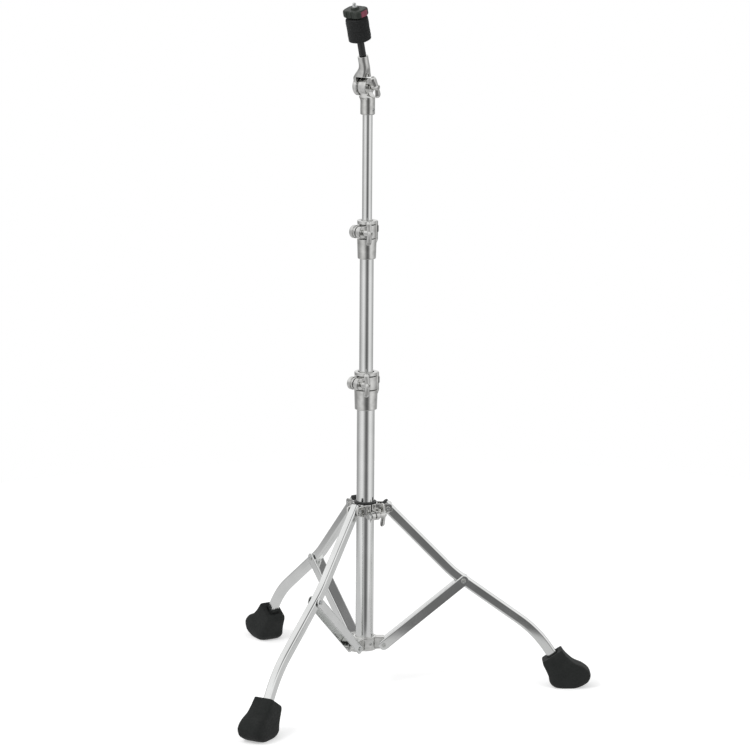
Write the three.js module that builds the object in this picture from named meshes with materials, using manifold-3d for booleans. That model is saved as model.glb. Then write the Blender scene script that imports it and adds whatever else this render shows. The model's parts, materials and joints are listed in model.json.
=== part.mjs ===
// A straight cymbal stand, standing with its three braced legs open.
// Millimetres, +Z up. The model is built round the axis of its tubes with the floor at z = 0,
// and is moved at the end so that the middle of its footprint is the origin.

import * as THREE from "three";
import { mergeVertices } from "three/addons/utils/BufferGeometryUtils.js";
import Module from "manifold-3d";

const wasm = await Module();
wasm.setup();

// Clearances
const GAP = 0.3; // between parts that touch or run on each other
const OVERRUN = 4; // how far a cutting shape passes beyond the face that it cuts

// The three telescoping tubes
const BASE_TUBE_DIAMETER = 28.6;
const MIDDLE_TUBE_DIAMETER = 22.2;
const TOP_TUBE_DIAMETER = 15.9;
const TUBE_WALL = 1.2;
const BASE_TUBE_LENGTH = 425;
const MIDDLE_TUBE_LENGTH = 480;
const TOP_TUBE_LENGTH = 500;
const MIDDLE_TUBE_SHOWING = 180.5; // from the rim of one clamp to the foot of the next
const TOP_TUBE_SHOWING = 166;
const GLIDE_LENGTH = 18; // nylon glide in the lower end of each sliding tube
const GLIDE_LIP = 3;

// Legs: a flat sided tube with three straight runs
const LEG_ANGLES = [0, 120, 240]; // degrees round the tube, right, rear and front
const LEG_NAMES = ["right", "rear", "front"];
const LEG_WIDTH = 13;
const LEG_DEPTH = 16.5; // in the plane that the leg bends in
const LEG_CORNER = 3.6;
const LEG_WALL = 1.5;
const LEG_UPPER_RUN = 150; // from the upper pivot to the first bend
const LEG_MIDDLE_RUN = 164;
const LEG_LOWER_RUN = 46.7; // from the second bend to the mouth of the foot
const LEG_UPPER_SLOPE = 45.5; // degrees below level
const LEG_MIDDLE_SLOPE = 35.5;
const LEG_LOWER_SLOPE = 56;
const LEG_BEND_RADIUS = 185;
const LEG_IN_FOOT = 33;
const LEG_OVER_PIVOT = 9; // leg tube beyond the upper pivot
const LEG_CAP = 3.2;
const LEG_CAP_STEM = 3.6;

// Pivots of the legs and braces
const UPPER_PIVOT_RADIUS = 36.2; // from the axis of the tubes
const LOWER_PIVOT_RADIUS = 31;
const LOWER_PIVOT_HEIGHT = 69.8; // above the floor
const MIDDLE_PIVOT_PAST_BEND = 20; // along the leg from its first bend
const RIVET_SHANK_RADIUS = 2.4;
const RIVET_HEAD_RADIUS = 3.7;
const RIVET_HEAD = 1.4;
const RIVET_DIMPLE_RADIUS = 1.5;

// Braces: channels of bent sheet
const BRACE_SHEET = 1.6;
const BRACE_DEPTH = 16;
const BRACE_SIDE_GAP = 1.5; // between a cheek and the leg
const BRACE_CORNER = 2.2;
const BRACE_WEB_CUT_AT_LEG = 28;
const BRACE_WEB_CUT_AT_COLLAR = 6;

// The collar that is fixed at the foot of the base tube
const LOWER_COLLAR_HEIGHT = 22;
const LOWER_COLLAR_WALL = 4.4;
const LOWER_COLLAR_UNDER_PIVOT = 8;
const TONGUE_TIP_RADIUS = 6;
const TONGUE_RECESS = 0.9;
const SET_SCREW_RADIUS = 2.4;
const SET_SCREW_SUNK = 0.5;
const SET_SCREW_SOCKET_RADIUS = 1.2;

// The collar that slides on the base tube and carries the legs
const LEG_COLLAR_HEIGHT = 20;
const LEG_COLLAR_OVER_PIVOT = 8;
const LEG_COLLAR_BUSHING_WALL = 2;
const LEG_COLLAR_WALL = 2.6;
const LEG_COLLAR_FLANGE = 2.9;
const LEG_COLLAR_FLANGE_LIP = 1.3; // the flange beyond the bushing
const LEG_COLLAR_LUG_ANGLE = 300; // degrees, between the right and the front leg
const LEG_COLLAR_BOLT_OUT = 9.3; // bolt axis beyond the wall of the collar
const LEG_COLLAR_BOLT_UNDER_PIVOT = 8;
const LEG_COLLAR_LUG_RADIUS = 7;
const LEG_COLLAR_LUG_HALF = 7.2;
const LEG_COLLAR_PADDLE_AT = 13.4; // along the bolt from the split
const EAR_THICKNESS = 3.3;
const EAR_REACH = 6.6; // beyond the pivot
const EAR_CORNER = 3.5;

// The two height clamps share these sizes
const CLAMP_HEIGHT = 61;
const CLAMP_RIM = 5.8; // ring above the upper slit
const CLAMP_BAND = 20.8; // ring between the slits
const CLAMP_SLIT = 1.2;
const CLAMP_SPLIT = 1.8;
const CLAMP_SLEEVE_WALL = 4.4;
const CLAMP_SLEEVE_TAPER = 0.95;
const CLAMP_FOOT_ROUND = 3;
const CLAMP_RIM_ROUND = 1.5;
const CLAMP_MOUTH_LIP = 2.4; // top ring over the bushing
const CLAMP_MOUTH_GAP = 1.7; // open ring round the sliding tube
const NYLON_WALL = 3.2;
const NYLON_SLOT = 2;
const CLAMP_LUG_ANGLE = 225;
const CLAMP_SPINE_ANGLE = 5;
const CLAMP_SPINE_SPREAD_ANGLE = 21; // degrees each side that the slits leave whole
const CLAMP_SPINE_WIDTH = 10.4;
const CLAMP_SPINE_RISE = 1.7;
const CLAMP_SPINE_BOSS = 1.2;
const CLAMP_SPINE_TAIL = 6;
const CLAMP_BOLT_OUT = 2.3; // bolt axis beyond the band
const CLAMP_LUG_RADIUS = 9.6;
const CLAMP_NEAR_LUG = 9; // from the split to the wing's face
const CLAMP_FAR_LUG = 4.7; // from the split to the groove beside the boss
const CLAMP_BOSS_GROOVE = 0.9;
const CLAMP_BOSS_NECK_RADIUS = 8.4;
const CLAMP_BOSS_LENGTH = 7;
const CLAMP_BOSS_DOME = 2.2;

// Wing bolts and their nuts
const BOLT_RADIUS = 3;
const WING_LENGTH = 38;
const WING_WIDTH = 9.4;
const WING_WAIST = 8;
const WING_THICKNESS = 6.2;
const WING_HUB_RADIUS = 4.8;
const WING_ROOT_RADIUS = 4.2;
const WING_NOSE_RADIUS = 3.6;
const WING_NOSE = 1.2;
const WING_SOCKET_RADIUS = 2;
const WING_PAST_CLAMP = 1.8; // paddle's inner face beyond the rim of the base clamp
const NUT_RADIUS = 5.4; // over the corners
const NUT_THICKNESS = 4.6;
const NUT_CREST = 1.2; // metal left over a bolt's end

// Tilter
const TILTER_ANGLE = -36; // degrees, direction that the wing points in
const TILT_ANGLE = 16; // degrees from upright at rest
const TILTER_PIVOT_OVER_FOOT = 43.7;
const TILTER_SOCKET_RADIUS = 11.6;
const TILTER_SOCKET_HEIGHT = 25.5;
const TILTER_SOCKET_ROUND = 1.8;
const TILTER_WAIST = 15.6;
const TOP_TUBE_IN_TILTER = 22.5;
const LOWER_DISC_RADIUS = 13.6;
const LOWER_DISC_NEAR = 4.2; // face on the wing's side, from the axis of the tubes
const LOWER_DISC_FAR = 10.2; // face on the other side
const TILTER_WASHER = 1;
const TILTER_WASHER_RADIUS = 11;
const UPPER_DISC_RADIUS = 15;
const UPPER_DISC_THICKNESS = 8;
const UPPER_ARM_CLEARANCE = 0.8; // over the rim of the lower disc
const UPPER_ARM_HIP = 16; // height of the arm's widest ring over the pivot
const UPPER_ARM_HIP_WIDTH = 23;
const UPPER_ARM_NECK = 35;
const UPPER_ARM_TOP = 51;
const UPPER_ARM_NECK_RADIUS = 8.3;
const UPPER_ARM_EDGE = 1;
const TILTER_SCREW_OVER_FOOT = 7;
const TILTER_NUT_RADIUS = 6.2;
const TILTER_NUT_THICKNESS = 4.2;
const TILTER_PADDLE_AT = 13.6;
const TILTER_WING_ANGLE = 26; // degrees from upright

// Cymbal seat, measured along the rod from the tilter's pivot
const ROD_RADIUS = 3.9;
const ROD_TIP = 137.8;
const ROD_CHAMFER = 1.1;
const ROD_IN_ARM = 24;
const SLEEVE_RADIUS = 5.5;
const SLEEVE_SHOWING = 24.6;
const SLEEVE_UPPER_RADIUS = 5;
const SEAT_WASHER_RADIUS = 13;
const SEAT_WASHER = 1.5;
const FELT_RADIUS = 17.7;
const FELT_HEIGHT = 17.6;
const FELT_ROUND = 1.8;
const CYMBAL_NUT_LENGTH = 39;
const CYMBAL_NUT_WIDTH = 31;
const CYMBAL_NUT_HEIGHT = 15;
const CYMBAL_NUT_CORNER = 13;
const CYMBAL_NUT_EDGE = 2;
const CYMBAL_NUT_FLUTE_RADIUS = 3.4;
const CYMBAL_NUT_FLUTE_PITCH = 8.8;
const CYMBAL_NUT_ANGLE = -40;
const BUTTON_WIDTH = 15;
const BUTTON_HEIGHT = 11.6;
const BUTTON_DEPTH = 7.4;
const BUTTON_PROUD = 0.9;
const BUTTON_SINK_WALL = 1.7;
const BUTTON_SPRING_RADIUS = 1.9;
const BUTTON_SPRING_WIRE = 0.35;
const BUTTON_SPRING_TURNS = 3;
const BUTTON_SPRING_LENGTH = 3.4;

// Rubber feet, drawn in the plane of the leg: along the leg's run and across it, and up
const FOOT_HEIGHT = 62.8;
const FOOT_REACH = 72; // heel to toe
const FOOT_HALF_WIDTH = 22.5;
const FOOT_MOUTH_STEP = 1.6;

// Smoothness of round parts
const FINE = 24;
const ROUND = 16;
const SMALL = 10;

const rad = THREE.MathUtils.degToRad;
const polar = (radius, degrees) => [radius * Math.cos(rad(degrees)), radius * Math.sin(rad(degrees))];

// Materials
const finish = (color, roughness, metalness) =>
  new THREE.MeshStandardMaterial({ color, roughness, metalness });
const chrome = () => finish(0xd6d8d6, 0.12, 1);
const castChrome = () => finish(0xbfc1be, 0.3, 1);
const steel = () => finish(0xa9aba8, 0.35, 1);
const rubber = () => finish(0x2d2f2e, 0.85, 0);
const nylon = () => finish(0x1c1e1d, 0.6, 0);
const felt = () => finish(0x1e1f1f, 1, 0);
const nutPlastic = () => finish(0x282d28, 0.5, 0);
const redPlastic = () => finish(0x7d3a4c, 0.45, 0);

// Solids for joining and cutting

function solid(geometry) {
  const bare = geometry.index ? geometry.toNonIndexed() : geometry.clone();
  bare.deleteAttribute("normal");
  bare.deleteAttribute("uv");
  const merged = mergeVertices(bare);
  const faces = new Uint32Array(merged.index.array);
  const corners = merged.attributes.position.array;
  if (signedVolume(corners, faces) < 0) flip(faces);
  return new wasm.Manifold(new wasm.Mesh({ numProp: 3, vertProperties: corners, triVerts: faces }));
}

function signedVolume(corners, faces) {
  const [a, b, c] = [new THREE.Vector3(), new THREE.Vector3(), new THREE.Vector3()];
  let sum = 0;
  for (let i = 0; i < faces.length; i += 3) {
    a.fromArray(corners, 3 * faces[i]);
    b.fromArray(corners, 3 * faces[i + 1]);
    c.fromArray(corners, 3 * faces[i + 2]);
    sum += a.dot(b.cross(c));
  }
  return sum;
}

function flip(faces) {
  for (let i = 0; i < faces.length; i += 3) {
    const kept = faces[i];
    faces[i] = faces[i + 1];
    faces[i + 1] = kept;
  }
}

const join = (...parts) => parts.reduce((whole, part) => whole.add(part));
const cut = (whole, ...tools) => tools.reduce((left, tool) => left.subtract(tool), whole);

function toGeometry(manifold) {
  const mesh = manifold.getMesh();
  const geometry = new THREE.BufferGeometry();
  geometry.setAttribute("position", new THREE.BufferAttribute(mesh.vertProperties, 3));
  geometry.setIndex(new THREE.BufferAttribute(mesh.triVerts, 1));
  geometry.computeVertexNormals();
  return geometry;
}

// Basic shapes, as geometries with their axis along Z

function turned(profile, segments) {
  const points = profile.map(([radius, height]) => new THREE.Vector2(radius, height));
  const [first, last] = [points[0], points[points.length - 1]];
  if (first.x > 0 || last.x > 0) points.push(first.clone());
  return new THREE.LatheGeometry(points, segments).rotateX(Math.PI / 2);
}

const rod = (radius, from, to, segments = ROUND) =>
  turned([[0, from], [radius, from], [radius, to], [0, to]], segments);

const ring = (inner, outer, from, to, segments = FINE) =>
  turned([[inner, from], [outer, from], [outer, to], [inner, to]], segments);

function prism(outline, from, to) {
  return new THREE.ExtrudeGeometry(outline, {
    depth: to - from,
    bevelEnabled: false,
    curveSegments: 4,
  }).translate(0, 0, from);
}

function polygon(points) {
  return new THREE.Shape(points.map(([x, y]) => new THREE.Vector2(x, y)));
}

function block(x0, x1, y0, y1, z0, z1) {
  const box = new THREE.BoxGeometry(x1 - x0, y1 - y0, z1 - z0);
  return box.translate((x0 + x1) / 2, (y0 + y1) / 2, (z0 + z1) / 2);
}

function roundedRectangle(width, height, corner) {
  const [x, y] = [width / 2, height / 2];
  const shape = new THREE.Shape();
  shape.moveTo(corner - x, -y);
  shape.absarc(x - corner, corner - y, corner, -Math.PI / 2, 0);
  shape.absarc(x - corner, y - corner, corner, 0, Math.PI / 2);
  shape.absarc(corner - x, y - corner, corner, Math.PI / 2, Math.PI);
  shape.absarc(corner - x, corner - y, corner, Math.PI, 1.5 * Math.PI);
  shape.closePath();
  return shape;
}

// A skin over rings of equal count, closed with a fan at each end
function loft(rings) {
  const count = rings[0].length;
  const corners = rings.flat();
  const faces = [];
  for (let r = 0; r + 1 < rings.length; r++) {
    for (let i = 0; i < count; i++) {
      const next = (i + 1) % count;
      const [a, b] = [r * count + i, r * count + next];
      faces.push(a, b, b + count, a, b + count, a + count);
    }
  }
  const top = (rings.length - 1) * count;
  for (let i = 1; i + 1 < count; i++) {
    faces.push(0, i + 1, i);
    faces.push(top, top + i, top + i + 1);
  }
  const geometry = new THREE.BufferGeometry().setFromPoints(corners);
  geometry.setIndex(faces);
  return geometry;
}

// Points round a soft cornered box, as shares of its half sizes
function softRing(count, power) {
  return Array.from({ length: count }, (_, i) => {
    const angle = (2 * Math.PI * (i + 0.5)) / count;
    const soft = (v) => Math.sign(v) * Math.abs(v) ** (2 / power);
    return [soft(Math.cos(angle)), soft(Math.sin(angle))];
  });
}

// Placing

const turnedTo = (geometry, axis, degrees) => {
  const turn = { x: "rotateX", y: "rotateY", z: "rotateZ" }[axis];
  return geometry[turn](rad(degrees));
};

function group(x, y, z, degrees = 0) {
  const made = new THREE.Group();
  made.position.set(x, y, z);
  made.rotation.z = rad(degrees);
  return made;
}

function addPart(parent, name, shape, material) {
  const geometry = shape.isBufferGeometry ? toGeometry(solid(shape)) : toGeometry(shape);
  const mesh = new THREE.Mesh(geometry, material);
  mesh.name = name;
  parent.add(mesh);
  return mesh;
}

// A group whose Z is a level bolt axis at some angle, and whose X is up
function boltGroup(parent, radius, aroundDegrees, axisDegrees, height) {
  const [x, y] = polar(radius, aroundDegrees);
  const holder = new THREE.Group();
  const along = new THREE.Vector3(...polar(1, axisDegrees), 0);
  const up = new THREE.Vector3(0, 0, 1);
  const side = new THREE.Vector3().crossVectors(along, up);
  holder.quaternion.setFromRotationMatrix(new THREE.Matrix4().makeBasis(up, side, along));
  holder.position.set(x, y, height);
  parent.add(holder);
  return holder;
}

// Rings of the foot from its mouth to its sole, as shares of its reach, height and half width.
// Each row is heel reach, heel height, toe reach, toe height and half width.
const footRingShares = [
  [0, 0.72, 0.375, 1, 0.7],
  [0.01, 0.64, 0.41, 0.96, 0.79],
  [0.05, 0.52, 0.5, 0.83, 0.83],
  [0.12, 0.36, 0.68, 0.64, 0.89],
  [0.17, 0.22, 0.92, 0.49, 0.97],
  [0.21, 0.12, 1, 0.28, 1],
  [0.27, 0.035, 0.9, 0.1, 0.93],
  [0.33, 0, 0.74, 0, 0.75],
];
const [mouthShare] = footRingShares;
const footMouthReach = ((mouthShare[0] + mouthShare[2]) / 2) * FOOT_REACH;
const footMouthHeight = ((mouthShare[1] + mouthShare[3]) / 2) * FOOT_HEIGHT;

// Levels of the column, from the floor up
const slopeDrop = (run, slope) => run * Math.sin(rad(slope));
const slopeReach = (run, slope) => run * Math.cos(rad(slope));
const upperPivotHeight =
  footMouthHeight +
  slopeDrop(LEG_UPPER_RUN, LEG_UPPER_SLOPE) +
  slopeDrop(LEG_MIDDLE_RUN, LEG_MIDDLE_SLOPE) +
  slopeDrop(LEG_LOWER_RUN, LEG_LOWER_SLOPE);
const baseTubeRadius = BASE_TUBE_DIAMETER / 2;
const middleTubeRadius = MIDDLE_TUBE_DIAMETER / 2;
const topTubeRadius = TOP_TUBE_DIAMETER / 2;
const baseTubeFoot = LOWER_PIVOT_HEIGHT - LOWER_COLLAR_UNDER_PIVOT;
const clampSeat = CLAMP_RIM + CLAMP_BAND + 2 * CLAMP_SLIT; // depth of a tube's end under the rim
const baseRim = baseTubeFoot + BASE_TUBE_LENGTH + GAP + clampSeat;
const upperRim = baseRim + MIDDLE_TUBE_SHOWING + CLAMP_HEIGHT;
const tilterFoot = upperRim + TOP_TUBE_SHOWING;
const tilterPivot = tilterFoot + TILTER_PIVOT_OVER_FOOT;

// Sliding tubes, with the bushing that each turns and slides in

const tube = (radius, length) => ring(radius - TUBE_WALL, radius, 0, length);

function glide(radius, outerRadius) {
  const lip = outerRadius - TUBE_WALL - GAP;
  const plug = radius - TUBE_WALL - GAP;
  const bore = plug - TUBE_WALL;
  return turned(
    [
      [bore, -GLIDE_LIP - GAP],
      [lip, -GLIDE_LIP - GAP],
      [lip, -GAP],
      [plug, -GAP],
      [plug, GLIDE_LENGTH - GLIDE_LIP],
      [bore, GLIDE_LENGTH - GLIDE_LIP],
    ],
    ROUND,
  );
}

function nylonBushing(tubeRadius) {
  const bore = tubeRadius + GAP;
  const outer = bore + NYLON_WALL;
  const sleeve = ring(bore, outer, GAP - clampSeat, -CLAMP_MOUTH_LIP - GAP);
  const slot = block(
    0,
    outer + OVERRUN,
    -NYLON_SLOT / 2,
    NYLON_SLOT / 2,
    -clampSeat - OVERRUN,
    OVERRUN,
  );
  return cut(solid(sleeve), solid(slot));
}

// Height clamp: a cast socket on one tube, with a split band round the bushing of the next

function clampSizes(outerTubeRadius, innerTubeRadius) {
  const sleeveRadius = outerTubeRadius + CLAMP_SLEEVE_WALL;
  const bushingBore = innerTubeRadius + 2 * GAP + NYLON_WALL;
  const boltOut = sleeveRadius + CLAMP_BOLT_OUT;
  const boltDepth = CLAMP_RIM + CLAMP_SLIT + CLAMP_BAND / 2;
  return { tubeBore: outerTubeRadius + GAP, sleeveRadius, bushingBore, boltOut, boltDepth, innerTubeRadius };
}

function clampBody(size) {
  const foot = -CLAMP_HEIGHT;
  const footRadius = size.sleeveRadius - CLAMP_SLEEVE_TAPER;
  const shell = turned(
    [
      [size.tubeBore, foot],
      [footRadius - CLAMP_FOOT_ROUND, foot],
      [footRadius - CLAMP_FOOT_ROUND / 4, foot + CLAMP_FOOT_ROUND / 4],
      [footRadius, foot + CLAMP_FOOT_ROUND],
      [size.sleeveRadius, -clampSeat],
      [size.sleeveRadius, -CLAMP_RIM_ROUND],
      [size.sleeveRadius - CLAMP_RIM_ROUND, 0],
      [size.innerTubeRadius + CLAMP_MOUTH_GAP, 0],
      [size.innerTubeRadius + CLAMP_MOUTH_GAP, -CLAMP_MOUTH_LIP],
      [size.bushingBore, -CLAMP_MOUTH_LIP],
      [size.bushingBore, -clampSeat],
      [size.tubeBore, -clampSeat],
    ],
    FINE,
  );
  return solid(shell);
}

// The upright rib on the back of the band, with a boss at the band's height
function clampSpine(size) {
  const root = size.sleeveRadius - CLAMP_SLEEVE_WALL / 2;
  const face = size.sleeveRadius + CLAMP_SPINE_RISE;
  const boss = face + CLAMP_SPINE_BOSS;
  const bossTop = -CLAMP_RIM - CLAMP_SLIT;
  const bossFoot = bossTop - CLAMP_BAND / 2;
  const side = polygon([
    [root, -clampSeat - CLAMP_SPINE_TAIL],
    [size.sleeveRadius, -clampSeat - CLAMP_SPINE_TAIL],
    [face, -clampSeat],
    [face, bossFoot - CLAMP_SPINE_BOSS],
    [boss, bossFoot],
    [boss, bossTop - CLAMP_SPINE_BOSS],
    [face, bossTop],
    [face, -CLAMP_RIM_ROUND],
    [face - CLAMP_RIM_ROUND, -CLAMP_RIM_ROUND / 4],
    [root, -CLAMP_RIM_ROUND / 4],
  ]);
  const rib = turnedTo(prism(side, -CLAMP_SPINE_WIDTH / 2, CLAMP_SPINE_WIDTH / 2), "x", 90);
  return solid(turnedTo(rib, "z", CLAMP_SPINE_ANGLE));
}

// A lug outline with a round end, extruded along the bolt. Drawn for a bolt axis along Y.
function lugs(boltOut, boltHeight, radius, near, far, root) {
  const outline = new THREE.Shape();
  outline.moveTo(root, boltHeight - radius);
  outline.lineTo(boltOut, boltHeight - radius);
  outline.absarc(boltOut, boltHeight, radius, -Math.PI / 2, Math.PI / 2);
  outline.lineTo(root, boltHeight + radius);
  outline.closePath();
  return solid(turnedTo(prism(outline, -near, far), "x", 90));
}

const alongY = (radius, from, to, segments = ROUND) =>
  turnedTo(rod(radius, from, to, segments), "x", -90);
const holeAlongY = (radius, from, to) => alongY(radius, from, to, SMALL);

const clampBossFace = CLAMP_FAR_LUG + CLAMP_BOSS_GROOVE;
const clampBossEnd = clampBossFace + CLAMP_BOSS_LENGTH;

// The round boss on the far side of the split, with its nut pocket open at the end
function clampBoss() {
  const profile = [
    [0, -clampBossEnd],
    [CLAMP_BAND / 2 - CLAMP_BOSS_DOME, -clampBossEnd],
    [CLAMP_BAND / 2, CLAMP_BOSS_DOME - clampBossEnd],
    [CLAMP_BAND / 2, -clampBossFace],
    [CLAMP_BOSS_NECK_RADIUS, -clampBossFace],
    [CLAMP_BOSS_NECK_RADIUS, -CLAMP_SPLIT],
    [0, -CLAMP_SPLIT],
  ];
  return solid(turnedTo(turned(profile, ROUND), "x", -90));
}

function clamp(size) {
  const bolt = -size.boltDepth;
  const lugRoot = (size.bushingBore + size.sleeveRadius) / 2;
  const reach = size.boltOut + CLAMP_LUG_RADIUS + OVERRUN;
  const lug = lugs(size.boltOut, bolt, CLAMP_LUG_RADIUS, CLAMP_NEAR_LUG, CLAMP_FAR_LUG, lugRoot);
  const boss = clampBoss().translate([size.boltOut, 0, bolt]);
  const turnLug = (part) => part.rotate([0, 0, CLAMP_LUG_ANGLE]);
  const pocketFloor = NUT_THICKNESS + GAP - clampBossEnd;
  const pocket = hexAlongY(NUT_RADIUS + 2 * GAP, -reach, pocketFloor);
  const boltHole = holeAlongY(BOLT_RADIUS + GAP, -reach, reach).translate(size.boltOut, 0, bolt);
  const split = block(
    size.innerTubeRadius,
    reach,
    -CLAMP_SPLIT / 2,
    CLAMP_SPLIT / 2,
    bolt - CLAMP_BAND / 2 - CLAMP_SLIT / 2,
    bolt + CLAMP_BAND / 2 + CLAMP_SLIT / 2,
  );
  const slitFrom = rad(CLAMP_SPINE_ANGLE + CLAMP_SPINE_SPREAD_ANGLE);
  const slitTo = rad(CLAMP_SPINE_ANGLE - CLAMP_SPINE_SPREAD_ANGLE) + 2 * Math.PI;
  const sector = new THREE.Shape();
  sector.moveTo(0, 0);
  sector.lineTo(reach * Math.cos(slitFrom), reach * Math.sin(slitFrom));
  sector.absarc(0, 0, reach, slitFrom, slitTo);
  sector.closePath();
  const slit = (top) => solid(prism(sector, -top - CLAMP_SLIT, -top));
  const bore = solid(rod(size.bushingBore, -clampSeat, -CLAMP_MOUTH_LIP, FINE));
  return cut(
    join(clampBody(size), clampSpine(size), cut(turnLug(join(lug, boss)), bore)),
    turnLug(solid(pocket).translate([size.boltOut, 0, bolt])),
    turnLug(solid(boltHole)),
    turnLug(solid(split)),
    slit(CLAMP_RIM),
    slit(CLAMP_RIM + CLAMP_SLIT + CLAMP_BAND),
  );
}

// Wing bolt with its shank along -Z from its seat at z = 0 and its paddle upright along X

function wingBolt(shank, hub) {
  const paddle = new THREE.Shape();
  const [half, end, waist] = [WING_LENGTH / 2, WING_WIDTH / 2, WING_WAIST / 2];
  paddle.moveTo(0, -waist);
  paddle.lineTo(half - end, -end);
  paddle.absarc(half - end, 0, end, -Math.PI / 2, Math.PI / 2);
  paddle.lineTo(0, waist);
  paddle.lineTo(end - half, end);
  paddle.absarc(end - half, 0, end, Math.PI / 2, 1.5 * Math.PI);
  paddle.closePath();
  const edge = WING_THICKNESS / 5;
  const bar = new THREE.ExtrudeGeometry(paddle, {
    depth: WING_THICKNESS - 2 * edge,
    bevelThickness: edge,
    bevelSize: edge,
    bevelOffset: -edge,
    bevelSegments: 1,
    curveSegments: 3,
  }).translate(0, 0, hub + edge);
  const spindle = turned(
    [
      [0, -shank],
      [BOLT_RADIUS, -shank],
      [BOLT_RADIUS, 0],
      [WING_ROOT_RADIUS, 0],
      [WING_HUB_RADIUS, hub / 2],
      [WING_HUB_RADIUS, hub + WING_THICKNESS],
      [WING_NOSE_RADIUS, hub + WING_THICKNESS + WING_NOSE],
      [0, hub + WING_THICKNESS + WING_NOSE],
    ],
    SMALL,
  );
  const nose = hub + WING_THICKNESS + WING_NOSE;
  const socket = rod(WING_SOCKET_RADIUS, nose - WING_NOSE, nose + OVERRUN, 6);
  return cut(join(solid(bar), solid(spindle)), solid(socket));
}

// Nut with its blind bore open towards +Z, and the pocket that holds one, along Y
function hexNut(radius, thickness) {
  const body = rod(radius, -thickness, 0, 6);
  const bore = rod(BOLT_RADIUS + GAP, NUT_CREST - thickness, OVERRUN, SMALL);
  return cut(solid(body), solid(bore));
}

const hexAlongY = (radius, from, to) =>
  turnedTo(turnedTo(rod(radius, from, to, 6), "z", 30), "x", -90);

function addHeightClamp(parent, name, size) {
  addPart(parent, name, clamp(size), castChrome());
  addPart(parent, name + "_bushing", nylonBushing(size.innerTubeRadius), nylon());
  const axis = CLAMP_LUG_ANGLE + 90;
  const bolt = boltGroup(parent, size.boltOut, CLAMP_LUG_ANGLE, axis, -size.boltDepth);
  const wing = new THREE.Group();
  wing.position.z = CLAMP_NEAR_LUG + GAP;
  bolt.add(wing);
  const shank = CLAMP_NEAR_LUG + clampBossEnd - NUT_CREST;
  addPart(wing, name + "_wing_bolt", wingBolt(shank, clampHub), castChrome());
  const nut = new THREE.Group();
  nut.position.z = NUT_THICKNESS - clampBossEnd;
  bolt.add(nut);
  addPart(nut, name + "_nut", hexNut(NUT_RADIUS, NUT_THICKNESS), steel());
}

const baseClamp = clampSizes(baseTubeRadius, middleTubeRadius);
const upperClamp = clampSizes(middleTubeRadius, topTubeRadius);
const clampHub = baseClamp.sleeveRadius + WING_PAST_CLAMP - CLAMP_NEAR_LUG - GAP;

// Rivets lie along Y, centred on the leg

function rivet(halfGrip) {
  const head = halfGrip + GAP;
  const face = head + RIVET_HEAD;
  const profile = [
    [0, -face + RIVET_HEAD],
    [RIVET_DIMPLE_RADIUS, -face + RIVET_HEAD],
    [RIVET_DIMPLE_RADIUS, -face],
    [RIVET_HEAD_RADIUS - RIVET_HEAD / 4, -face],
    [RIVET_HEAD_RADIUS, -head],
    [RIVET_SHANK_RADIUS, -head],
    [RIVET_SHANK_RADIUS, head],
    [RIVET_HEAD_RADIUS, head],
    [RIVET_HEAD_RADIUS - RIVET_HEAD / 4, face],
    [RIVET_DIMPLE_RADIUS, face],
    [RIVET_DIMPLE_RADIUS, face - RIVET_HEAD],
    [0, face - RIVET_HEAD],
  ];
  return turnedTo(turned(profile, SMALL), "x", -90);
}

// One side of a middle pivot: the head outside a cheek, with its stub held in the cheek's hole
function stubRivet(side) {
  const head = braceHalf + GAP;
  const face = head + RIVET_HEAD;
  const profile = [
    [0, braceHalf - BRACE_SHEET],
    [RIVET_SHANK_RADIUS, braceHalf - BRACE_SHEET],
    [RIVET_SHANK_RADIUS, head],
    [RIVET_HEAD_RADIUS, head],
    [RIVET_HEAD_RADIUS - RIVET_HEAD / 4, face],
    [RIVET_DIMPLE_RADIUS, face],
    [RIVET_DIMPLE_RADIUS, head],
    [0, head],
  ];
  return turnedTo(turned(profile, SMALL), "x", side > 0 ? -90 : 90);
}

// Leg, drawn in the XZ plane with its upper pivot at the origin

const legKnee = new THREE.Vector3(
  slopeReach(LEG_UPPER_RUN, LEG_UPPER_SLOPE),
  0,
  -slopeDrop(LEG_UPPER_RUN, LEG_UPPER_SLOPE),
);
const legAnkle = new THREE.Vector3(
  slopeReach(LEG_MIDDLE_RUN, LEG_MIDDLE_SLOPE),
  0,
  -slopeDrop(LEG_MIDDLE_RUN, LEG_MIDDLE_SLOPE),
).add(legKnee);
const footMouth = new THREE.Vector3(
  slopeReach(LEG_LOWER_RUN, LEG_LOWER_SLOPE),
  0,
  -slopeDrop(LEG_LOWER_RUN, LEG_LOWER_SLOPE),
).add(legAnkle);
const downSlope = (slope) => new THREE.Vector3(...[slopeReach(1, slope), 0, -slopeDrop(1, slope)]);
const legEnd = downSlope(LEG_LOWER_SLOPE).multiplyScalar(LEG_IN_FOOT).add(footMouth);
const legStart = downSlope(LEG_UPPER_SLOPE).multiplyScalar(-LEG_OVER_PIVOT);
const middlePivot = downSlope(LEG_MIDDLE_SLOPE).multiplyScalar(MIDDLE_PIVOT_PAST_BEND).add(legKnee);

function bend(corner, slopeIn, slopeOut) {
  const tangent = LEG_BEND_RADIUS * Math.tan(Math.abs(rad(slopeOut - slopeIn)) / 2);
  const from = downSlope(slopeIn).multiplyScalar(-tangent).add(corner);
  const to = downSlope(slopeOut).multiplyScalar(tangent).add(corner);
  return new THREE.QuadraticBezierCurve3(from, corner, to);
}

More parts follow.
